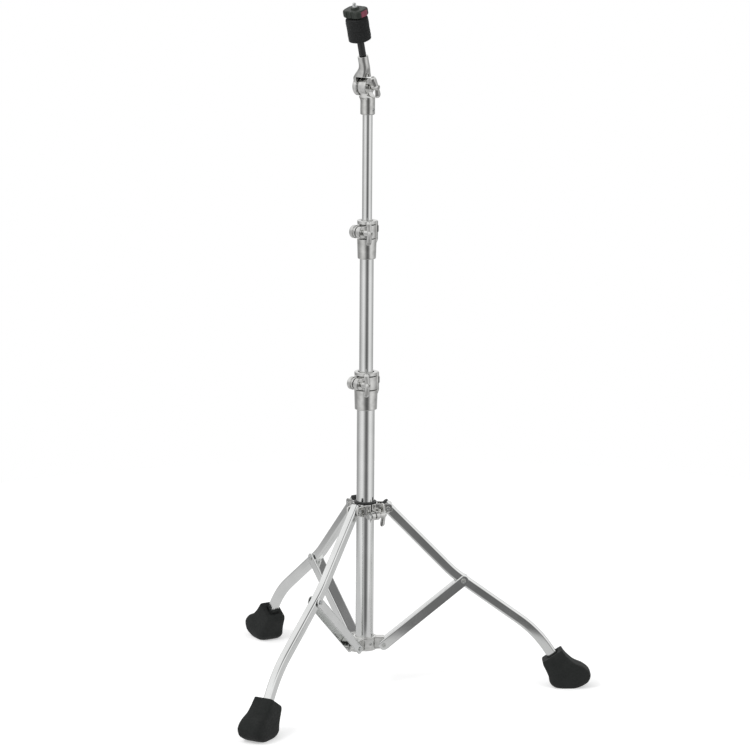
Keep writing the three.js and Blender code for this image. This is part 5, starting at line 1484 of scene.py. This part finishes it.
# %% Cast a clamp
CLAMP_TALL, RIM, BAND, SLIT = 61, 5.8, 20.8, 1.2
SLEEVE_WALL, SLEEVE_TAPER, FOOT_ROUND, RIM_ROUND = 4.4, 0.95, 3, 1.5
MOUTH_LIP, MOUTH_GAP, NYLON_WALL, NYLON_SLOT = 2.4, 1.7, 3.2, 2
SEAT, BOLT_DOWN = RIM + BAND + 2 * SLIT, RIM + SLIT + BAND / 2
CLAMP_LUG, LUG_AT, SPINE_AT, SPINE_SPREAD, SPINE_WIDE, SPINE_RISE = 9.6, 225, 5, 21, 10.4, 1.7
NEAR_LUG, FAR_LUG, GROOVE, BOSS_LONG, BOSS_DOME, BOSS_NECK = 9, 4.7, 0.9, 7, 2.2, 8.4
BOSS_FACE = FAR_LUG + GROOVE
BOSS_END = BOSS_FACE + BOSS_LONG
END_RINGS = (6.6, 7.3), (8.3, 9.0)


def clamp_lug(sizes):
    """The lug, the boss behind it, and a tool for the ring sunk in the lug's face."""
    out, root = sizes["bolt_out"], (sizes["bore"] + sizes["sleeve"]) / 2
    lug = lug_shape(out, -BOLT_DOWN, CLAMP_LUG, NEAR_LUG, FAR_LUG, root, 1.2)
    boss_profile = [
        (0, -BOSS_END), (3.4, -BOSS_END), (BAND / 2, -BOSS_END), (BAND / 2, -BOSS_FACE),
        (BOSS_NECK, -BOSS_FACE), (BOSS_NECK, -SPLIT), (0, -SPLIT),
    ]
    boss = turned(softened(boss_profile, [0, 0, BOSS_DOME, 0.7, 0.3, 0, 0], 8), 96)
    ring = turned(softened(oblong(5.6, NEAR_LUG - 0.9, 7.0, NEAR_LUG + 3), 0.2), 72)
    # the wing's side of the bolt is towards -Y
    ring = placed(placed(ring, spin("X", 90)), shift(out, 0, -BOLT_DOWN))
    return lug, across(boss, out, 0, -BOLT_DOWN), ring


def clamp_rib(sleeve):
    """The upright rib with its low boss."""
    face, root = sleeve + SPINE_RISE, sleeve - SLEEVE_WALL / 2
    top, foot = -RIM - SLIT, -RIM - SLIT - BAND / 2
    side = softened([
        (root, -SEAT - 6), (sleeve, -SEAT - 6), (face, -SEAT), (face, foot - 1.2),
        (face + 1.2, foot), (face + 1.2, top - 1.2), (face, top), (face, -0.4), (root, -0.4),
    ], [0, 1, 1, 0.4, 0.4, 0.4, 0.4, 1.4, 0], 4)
    return spun(upright(side, -SPINE_WIDE / 2, SPINE_WIDE / 2, 0.8), SPINE_AT)


def clamp_shape(sizes):
    sleeve, bore, tube = sizes["sleeve"], sizes["bore"], sizes["tube_bore"]
    inner, out, mouth = sizes["inner"], sizes["bolt_out"], sizes["inner"] + MOUTH_GAP
    profile = [
        (tube, -CLAMP_TALL), (sleeve - SLEEVE_TAPER, -CLAMP_TALL), (sleeve, -SEAT),
        (sleeve, 0), (mouth, 0), (mouth, -MOUTH_LIP), (bore, -MOUTH_LIP), (bore, -SEAT),
        (tube, -SEAT),
    ]
    rounds = [0.5, FOOT_ROUND, 0.6, RIM_ROUND, 0.5, 0, 0, 0, 0]
    shell = turned(softened(profile, rounds, 6), 144)
    lug, boss, face_ring = clamp_lug(sizes)
    ears = spun(machined(lug, [boss]), LUG_AT)
    ears = machined(ears, cuts=[cylinder(bore, -SEAT - 0.01, -MOUTH_LIP, 144)])
    pocket = slab(hexagon(NUT_ACROSS + 2 * GAP, pi / 6), -40, NUT_TALL + GAP - BOSS_END)
    split = slab(
        oblong(inner, -SPLIT / 2, 50, SPLIT / 2),
        -BOLT_DOWN - BAND / 2 - SLIT / 2, -BOLT_DOWN + BAND / 2 + SLIT / 2,
    )
    at_lug = [
        face_ring, across(pocket, out, 0, -BOLT_DOWN),
        hole_across(BOLT_RADIUS + GAP, 44, out, -BOLT_DOWN), split,
    ]
    sector = arc(0, 0, 50, SPINE_AT + SPINE_SPREAD, SPINE_AT - SPINE_SPREAD + 360, 64)
    slits = [
        slab([(0, 0), *sector], -top - SLIT, -top) for top in (RIM, RIM + SLIT + BAND)
    ]
    cuts = [spun(tool, LUG_AT) for tool in at_lug] + slits
    for near, far in END_RINGS:
        groove = turned(oblong(near, -BOSS_END - 2, far, 0.5 - BOSS_END), 72)
        cuts.append(spun(across(groove, out, 0, -BOLT_DOWN), LUG_AT))
    return machined(shell, [clamp_rib(sleeve), ears], cuts)


def clamp_sizes(outer, inner):
    sleeve = outer + SLEEVE_WALL
    return {
        "tube_bore": outer + GAP, "sleeve": sleeve, "bore": inner + 2 * GAP + NYLON_WALL,
        "bolt_out": sleeve + 2.3, "inner": inner,
    }


def slotted_bushing(inner):
    bore = inner + GAP
    profile = oblong(bore, GAP - SEAT, bore + NYLON_WALL, -MOUTH_LIP - GAP)
    slot = slab(oblong(0, -NYLON_SLOT / 2, 40, NYLON_SLOT / 2), -60, 4)
    return cleaned(machined(turned(softened(profile, 0.4), 120), cuts=[slot]))


def height_clamp(name, rim, outer, inner):
    sizes = clamp_sizes(outer, inner)
    cast_piece(name, clamp_shape(sizes), standing(rim), name)
    finish_piece(
        name + "_slotted_bushing", placed(slotted_bushing(inner), standing(rim)),
        BLACK_NYLON, [name + "_bushing"], edge_mm=0.15, angle=40,
    )
    point = standing(rim - BOLT_DOWN, LUG_AT, sizes["bolt_out"]).translation
    bolt = bolt_place(point, LUG_AT + 90)
    wing_bolt(
        name + "_wing", bolt @ shift(z=NEAR_LUG + GAP), NEAR_LUG + BOSS_END - NUT_CREST,
        CLAMP_HUB, name + "_wing_bolt",
    )
    nut_place = bolt @ shift(z=NUT_TALL - BOSS_END)
    nut(name + "_hex_nut", nut_place, NUT_ACROSS, NUT_TALL, name + "_nut")


CLAMP_HUB = clamp_sizes(base_radius, middle_radius)["sleeve"] + 1.8 - NEAR_LUG - GAP
height_clamp("base_clamp", levels("base_clamp")[1], base_radius, middle_radius)
height_clamp("upper_clamp", levels("upper_clamp")[1], middle_radius, top_radius)

# %% [markdown]
# ## The tilter
# The tilter has two cast arms that turn on one bolt. The lower arm is a socket on the top
# tube that narrows into a thick disc. The upper arm carries the rod, and its own disc lies
# behind the first with a steel washer between. Rings of small teeth round the washer
# lock the two discs when the wing bolt is tight. The upper arm ends in a level lip just
# over the lower disc, with a row of teeth under its edge: a dark, jagged line in the
# photograph. The teeth are copies placed by the same Geometry Nodes tree as the rivets.

# %% Where the tilter stands
TILTER_FOOT = 43.7  # the arm's foot lies this far under its bolt
TILTER_AT, TILT, TILTER_PIVOT = -36, 16, levels("tilter_lower_arm")[0] + TILTER_FOOT
DISC_NEAR, DISC_FAR, DISC_OUT = -4.2, 10.2, 13.6
BACK_NEAR, BACK_FAR, BACK_OUT = 11.8, 19.8, 15
SOCKET_OUT, SET_SCREW_UP = 11.6, 7
TEETH, TEETH_IN, TEETH_OUT, TEETH_TALL = 60, 11.4, 13.2, 0.7
tilter = standing(TILTER_PIVOT, TILTER_AT + 90)
tilting = tilter @ spin("Y", -TILT)
level_again = spin("Y", TILT)
print("tilter pivot at", round(TILTER_PIVOT, 1), "mm")


def arm_skin(rows):
    """A skin over soft cornered level rings: height, near, far, half width and boxiness."""
    rings = []
    for height, near, far, half, power in between_rows(rows, 5):
        rings.append([
            (x * half, (near + far) / 2 + y * (far - near) / 2, height)
            for x, y in ring_outline(96, power)
        ])
    return skin(rings)


def tooth_ring(face, rise):
    """Radial teeth on a face across the bolt, as copies of one wedge."""
    half, step = pi * TEETH_IN / TEETH * 0.92, 2 * pi / TEETH
    wedge = slab([(-half, 0), (half, 0), (0, rise)], TEETH_IN, TEETH_OUT)
    spots = [
        ((0, face, 0), (cos(step * (i + 0.5)), 0, sin(step * (i + 0.5)))) for i in range(TEETH)
    ]
    return on_points(wedge, spots, CAST_PLATE)


# %% Cast the lower arm
CHEEK_ROWS = [
    (-24, -11.4, 11.4, 11.4, 2.0), (-20, -11.5, 12.2, 11.5, 2.1),
    (-17, -11.2, 13.5, 11.5, 2.3), (-15.4, -10.2, 13.2, 11.2, 2.5), (-13.6, -8.4, 11.0, 10.6, 2.8),
    (-11.4, -6.2, 10.2, 9.8, 3.2), (-7.6, -4.2, 10.2, 8.6, 4.0), (-3, -4.2, 10.2, 8, 4.0),
]


def lower_arm_shape():
    foot, out, top = -TILTER_FOOT, SOCKET_OUT, -TILTER_FOOT + 25.5
    profile = [(0, foot), (out, foot), (out, top - 2), (out - 2.4, top + 1), (0, top + 2)]
    socket = turned(softened(profile, [0, 1.8, 2.6, 1.4, 0], 7), 128)
    disc = across(cylinder(DISC_OUT, DISC_NEAR, DISC_FAR, 128, 1.7, 7))
    bore = cylinder(top_radius + GAP, foot - 4, foot + 22.5 + GAP, 96)
    screw_hole = placed(cylinder(SCREW_RADIUS + GAP, 8, 16, 48), spin("X", 90))
    screw_hole = placed(screw_hole, shift(z=foot + SET_SCREW_UP))
    band = arc(0, 0, 19, 118, 206, 24) + arc(0, 0, 10.0, 206, 118, 24)
    slot = slab(band, top - 0.7, top + 0.8)
    hub_seat = across(cylinder(6.4, 0, 3), 0, DISC_NEAR - 2.6, 0)
    bolt_hole = hole_across(BOLT_RADIUS + GAP, 30)
    cuts = [bore, bolt_hole, screw_hole, slot, hub_seat]
    return machined(socket, [disc, arm_skin(CHEEK_ROWS)], cuts)


lower_arm = cast_skin(lower_arm_shape(), FINE_VOXEL)
lower_arm = placed(merged(lower_arm, tooth_ring(DISC_FAR - 0.1, TEETH_TALL)), tilter)
soft_piece("tilter_socket_arm", lower_arm, CAST_PLATE, ["tilter_lower_arm"])

# %% Cast the upper arm
LIP_OVER = 15  # level lip over the pivot
ARM_ROWS = [
    (-2, -4.2, 19.8, 11.5, 4), (8, -4.2, 19.8, 11.5, 4), (16, -4.2, 19.8, 11.5, 4),
    (20.5, -4.8, 17.6, 11.1, 3.6), (26, -6.4, 13.4, 9.8, 3), (31, -7.8, 9.8, 8.7, 2.4),
    (36, -8.3, 8.5, 8.3, 2.1), (43, -8.3, 8.3, 8.3, 2), (49.6, -8.3, 8.3, 8.3, 2),
    (50.7, -7.9, 7.9, 7.9, 2), (51, -7.2, 7.2, 7.2, 2),
]


def upper_arm_shape():
    flat = placed(slab(oblong(-24, -20, 24, BACK_NEAR), -30, LIP_OVER), level_again)
    under = slab(oblong(-24, -30, 24, 30), -30, -1.9)
    scoop = softened([(0, -14), (4.6, -14), (4.6, 6), (2.6, 9), (0, 9)], [0, 0, 3, 2, 0], 6)
    scoop = placed(turned(scoop, 48), shift(0, DISC_NEAR - 2.4, 14))
    body = machined(arm_skin(ARM_ROWS), cuts=[flat, under, scoop])
    disc = across(cylinder(BACK_OUT, BACK_NEAR, BACK_FAR, 128, 2.4, 7))
    bore = cylinder(3.9 + GAP, 24, 56, 72)
    bolt_hole = across(cylinder(BOLT_RADIUS + GAP, 0, 30, 48))
    pocket = across(cylinder(6.2 + GAP, BACK_FAR - 4.2, 30, 72))
    return machined(body, [disc], [bore, bolt_hole, pocket])


def lip_teeth():
    """A row of teeth under the lip's edge."""
    tooth = slab([(-0.75, 0), (0.75, 0), (0, 1.5)], -1.6, 1.6)
    tooth = spun(placed(tooth, spin("X", 180)), 90)  # its tip points down
    lean = radians(TILT)
    edge = -11.6 * cos(lean) - LIP_OVER * sin(lean) + 2.2
    facing_out = level_again.to_3x3() @ Vector((-1, 0, 0))
    spots = [
        (level_again @ Vector((edge, -2.6 + 1.6 * i, LIP_OVER + 0.2)), facing_out)
        for i in range(9)
    ]
    return on_points(tooth, spots, CAST_PLATE)


upper_arm = cast_skin(upper_arm_shape(), FINE_VOXEL)
upper_arm = merged(upper_arm, tooth_ring(BACK_NEAR + 0.1, -TEETH_TALL), lip_teeth())
upper_arm = placed(upper_arm, tilting)
soft_piece("tilter_rod_arm", upper_arm, CAST_PLATE, ["tilter_upper_arm"])

# %% Fit the tilter's bolt, washer, nut and screw
TILTER_WING_WIDE, TILTER_WING_TURN, TILTER_WING_OUT = 12.4, 26, 13.6
TILTER_NUT, TILTER_NUT_TALL = 6.2, 4.2
washer = turned(softened(oblong(BOLT_RADIUS + GAP, 0, 11, 1), 0.2, 3), 96)
washer = placed(across(washer), tilter @ shift(0, DISC_FAR + GAP, 0))
finish_piece("tilter_steel_washer", washer, ZINC_PLATE, ["tilter_washer"])
tilter_point = standing(TILTER_PIVOT).translation
wing_place = bolt_place(tilter_point, TILTER_AT, TILTER_WING_TURN)
wing_bolt(
    "tilter_wing", wing_place @ shift(z=GAP - DISC_NEAR),
    BACK_FAR - DISC_NEAR + GAP - NUT_CREST - GAP, TILTER_WING_OUT + DISC_NEAR - GAP,
    "tilter_wing_bolt", TILTER_WING_WIDE,
)
nut_place = bolt_place(tilter_point, TILTER_AT) @ shift(z=TILTER_NUT_TALL - BACK_FAR - GAP)
nut("tilter_hex_nut", nut_place, TILTER_NUT, TILTER_NUT_TALL, "tilter_nut")
screw_place = tilter @ shift(0, -top_radius - GAP, SET_SCREW_UP - TILTER_FOOT) @ spin("X", 90)
screw_long = SOCKET_OUT - SCREW_SUNK - top_radius - GAP
set_screw("tilter_socket_screw", screw_place, screw_long, "tilter_set_screw")

# %% [markdown]
# ## The cymbal seat
# A steel rod rises from the upper arm. A black nylon sleeve covers it and widens into a
# shoulder that holds a nylon washer. Two thick felts lie on the washer, and a quick
# release nut closes the stack: a button on its end frees it from the thread. The rod's
# upper end is threaded, so its thread is one swept ridge round a thinner core, and a
# short plain tip guides the nut on.

# %% Turn the rod, sleeve and washer
ROD, ROD_TIP, ROD_LOW, CORE, PILOT = 3.9, 137.8, 24.3, 3.3, 2.7
SLEEVE, SLEEVE_TOP, SLEEVE_UPPER, ARM_TOP = 5.5, 75.6, 5, 51
FELT_OUT, FELT_TALL, LOWER_FELT, UPPER_FELT, NUT_FOOT = 17.7, 17.6, 77.7, 95.6, 113.5
rod_profile = [
    (0, ROD_LOW), (ROD, ROD_LOW), (ROD, NUT_FOOT - 6), (CORE, NUT_FOOT - 5),
    (CORE, ROD_TIP - 5.4), (PILOT, ROD_TIP - 4.8), (PILOT, ROD_TIP - 0.7),
    (PILOT - 0.7, ROD_TIP), (0, ROD_TIP),
]
core = turned(softened(rod_profile, [0, 0.8, 0.2, 0.2, 0.3, 0.3, 0.2, 0.4, 0]), 96)
ridge = thread(NUT_FOOT - 5, ROD_TIP - 5, ROD, 0.62, 24)
soft_piece("threaded_rod", placed(merged(core, ridge), tilting), ZINC_PLATE, ["cymbal_rod"])
bore = ROD + GAP
sleeve_profile = softened([
    (bore, ARM_TOP + GAP), (SLEEVE, ARM_TOP + GAP), (SLEEVE, SLEEVE_TOP),
    (SLEEVE_UPPER, SLEEVE_TOP), (SLEEVE_UPPER, NUT_FOOT - GAP), (bore, NUT_FOOT - GAP),
], [0.2, 0.5, 0.3, 0.1, 0.4, 0.2])
finish_piece("rod_cover", placed(turned(sleeve_profile), tilting), BLACK_NYLON, ["rod_sleeve"])
seat_foot = SLEEVE_TOP + GAP
seat_profile = oblong(SLEEVE_UPPER + GAP, seat_foot, 13, seat_foot + 1.5)
seat_ring = turned(softened(seat_profile, [0.2, 0.6, 0.5, 0.2], 5), 120)
finish_piece("seat_ring", placed(seat_ring, tilting), BLACK_NYLON, ["seat_washer"])
print("rod tip at", round((tilting @ Vector((0, 0, ROD_TIP))).z, 1), "mm")

# %% [markdown]
# ### Felts
# The felts are cut from thick matted wool, so their sides are a little uneven and bulge
# slightly, and loose fibres stand off them. The two are pressed together and look like
# one tall pad. A Geometry Nodes tree scatters the fibres over the pad's own skin: thin
# three sided hairs that lean every way, with their number, length and seed as inputs.

# %% A tree that scatters loose fibres
fuzzy, given = new_tree("loose_fibres", Per_Square=1.0, Length=1.0, Seed=1, Finish=FELT)
points = node_of(
    fuzzy, "GeometryNodeDistributePointsOnFaces", None,
    Mesh=given["Geometry"], Density=given["Per Square"], Seed=given["Seed"],
)
hair = node_of(
    fuzzy, "GeometryNodeMeshCone", None,
    Vertices=3, Radius_Top=0.012, Radius_Bottom=0.045, Depth=1.0,
)
lean = node_of(
    fuzzy, "FunctionNodeRandomValue", {"data_type": "FLOAT_VECTOR"},
    i0=(-1.25, -1.25, 0), i1=(1.25, 1.25, 0),
)
leaning = node_of(fuzzy, "FunctionNodeEulerToRotation", None, i0=lean.outputs[0])
turn = node_of(
    fuzzy, "FunctionNodeRotateRotation", {"rotation_space": "LOCAL"},
    i0=points.outputs["Rotation"], i1=leaning.outputs[0],
)
longer = node_of(fuzzy, "FunctionNodeRandomValue", {"data_type": "FLOAT"}, i2=0.35, i3=1.0)
stretch = node_of(
    fuzzy, "ShaderNodeMath", {"operation": "MULTIPLY"},
    i0=longer.outputs[1], i1=given["Length"],
)
scale = node_of(fuzzy, "ShaderNodeCombineXYZ", None, X=1.0, Y=1.0, Z=stretch.outputs[0])
hairs = node_of(
    fuzzy, "GeometryNodeInstanceOnPoints", None, Points=points.outputs[0],
    Instance=hair.outputs[0], Rotation=turn.outputs[0], Scale=scale.outputs[0],
)
joined = fuzzy.nodes.new("GeometryNodeJoinGeometry")
fuzzy.links.new(hairs.outputs[0], joined.inputs[0])
fuzzy.links.new(given["Geometry"], joined.inputs[0])
end_tree(fuzzy, joined.outputs[0], given["Finish"])

# %% Cut the felts
def felt_shape(foot, low_round, high_round, seed):
    bore, top = SLEEVE_UPPER + GAP, foot + FELT_TALL
    side = [
        (FELT_OUT - 0.35 + 0.3 * sin(pi * i / 8), foot + FELT_TALL * i / 8) for i in range(9)
    ]
    rounds = [0.5, low_round] + [0.4] * 7 + [high_round, 0.5]
    mesh = turned(softened([(bore, foot), *side, (bore, top)], rounds, 5), 120)
    for point in mesh.vertices:
        spot = point.co + Vector((seed, 0, 0))
        rough = noise.noise(spot * 0.22) * 0.3 + noise.noise(spot * 0.9) * 0.12
        outward = Vector((point.co.x, point.co.y, 0))
        if outward.length > bore + 1:
            point.co += outward.normalized() * rough
    return mesh


def felt_pad(name, foot, low_round, high_round, seed, node):
    body = added("felt", felt_shape(foot, low_round, high_round, seed))
    per_square = 0.9
    fuzz = grown(body, fuzzy, Per_Square=per_square, Length=1.3, Seed=seed, Finish=FELT)
    soft_piece(name, placed(fuzz, tilting), FELT, [node])


felt_pad("lower_wool_felt", LOWER_FELT, 1.8, 0.4, 11, "lower_felt")
felt_pad("upper_wool_felt", UPPER_FELT, 0.4, 1.8, 23, "upper_felt")

# %% [markdown]
# ### The quick release nut
# The nut is moulded plastic, an oval block with finger flutes on both long sides and a
# low collar round the rod. Under its full width it draws in to a narrow neck, which
# leaves a dark gap over the felt. The crimson button sits in a pocket at one end, with a
# coil spring behind it.

# %% Mould the nut, its button and spring
NUT_LONG, NUT_BROAD, NUT_HIGH, NUT_CORNER = 36.4, 29.8, 15, 14.6
NUT_AT = -40  # the way the button's end faces, seen from above
COLLAR_HIGH = 17.9  # low collar round the rod
BUTTON_FRONT, BUTTON_BACK, BUTTON_HALF = 19, 13, 7.4
BUTTON_LOW, BUTTON_HIGH = 4.0, 13.2
COIL_RADIUS, COIL_WIRE, COIL_TURNS, COIL_STEPS = 1.9, 0.66, 3, 22
# Height, and how far the skin is drawn in from the full width
NUT_ROWS = [
    (0, 6.6), (0.5, 6.1), (1.9, 5.7), (2.5, 4.2), (3.3, 1.5), (4.4, 0.4), (5.8, 0),
    (12.4, 0), (13.6, 0.35), (14.5, 1.1), (14.9, 2.0), (15, 3.2),
]
quick_nut = tilting @ shift(z=NUT_FOOT) @ spin("Z", NUT_AT - TILTER_AT - 90)


def quick_nut_shape():
    x, y, top = NUT_LONG / 2, NUT_BROAD / 2, NUT_HIGH
    plan = softened(oblong(-x, -y, x, y), NUT_CORNER * 0.8, 14)
    body = skin([
        [(px * (1 - inset / x), py * (1 - inset / y), z) for px, py in plan]
        for z, inset in NUT_ROWS
    ])
    cuts = [cylinder(ROD + GAP, -4, top + 4, 72)]
    flute = [(0, -4), (3.4, -4), (3.4, top - 1), (5.2, top + 2), (0, top + 2)]
    flute = turned(softened(flute, [0, 0, 0.8, 0, 0]), 64)
    for along in (-4.4, 4.4):
        for side in (-1, 1):
            cuts.append(placed(flute.copy(), shift(along, side * (y + 1.7), 0)))
    boss = [(0, top - 2), (7.2, top - 2), (6.3, COLLAR_HIGH), (0, COLLAR_HIGH)]
    boss = turned(softened(boss, [0, 0, 1.1, 0], 6), 72)
    half = BUTTON_HALF + GAP
    pocket = slab(oblong(8, -half, 40, half), BUTTON_LOW - GAP, BUTTON_HIGH + GAP)
    return machined(body, [boss], [*cuts, pocket])


def button_shape():
    half, front = BUTTON_HALF, BUTTON_FRONT
    plan = softened([
        (BUTTON_BACK, -half), (front - 1.5, -half), (front, -half * 0.45), (front + 0.2, 0),
        (front, half * 0.45), (front - 1.5, half), (BUTTON_BACK, half),
    ], [0.3, 1.0, 3, 3, 3, 1.0, 0.3], 6)
    return slab(plan, BUTTON_LOW, BUTTON_HIGH, 0.9, 5)


shape = placed(cast_skin(quick_nut_shape(), 0.3, 4), quick_nut)
soft_piece("quick_release_nut", shape, NUT_PLASTIC, ["cymbal_nut"])
button = placed(button_shape(), quick_nut)
finish_piece("crimson_button", button, RED_PLASTIC, ["nut_button"], angle=50)
coil = helix(COIL_RADIUS, 0.35, 2.7, COIL_TURNS, COIL_TURNS * COIL_STEPS)
spring = grown(
    added("coil", coil), sweep,
    Width=COIL_WIRE, Depth=COIL_WIRE, Corner=0.32, Finish=ZINC_PLATE,
)
spring_place = quick_nut @ shift(8.95, 0, NUT_HIGH / 2) @ spin("Y", 90)
spring = placed(spring, spring_place)
spring = soft_piece("button_coil_spring", spring, ZINC_PLATE, ["nut_button_spring"])
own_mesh(spring)
print("nut", NUT_LONG, "by", NUT_BROAD, "mm")

# %% [markdown]
# ## Smooth copies of the solids
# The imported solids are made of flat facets. The two glides inside the tubes hardly show,
# and their shape is already right. A copy of each is merged into one skin, its flat faces
# are joined, and the round parts are shaded smooth.

# %% Smooth what the solids already say well
for node in ("middle_tube_glide", "top_tube_glide"):
    smooth = to_mesh(joined_flats(nodes[node].data, 0.004 * MM, 0.4))
    hand_over(node + "_skin", smooth, BLACK_NYLON, [node])
    print(node, len(smooth.polygons), "faces")
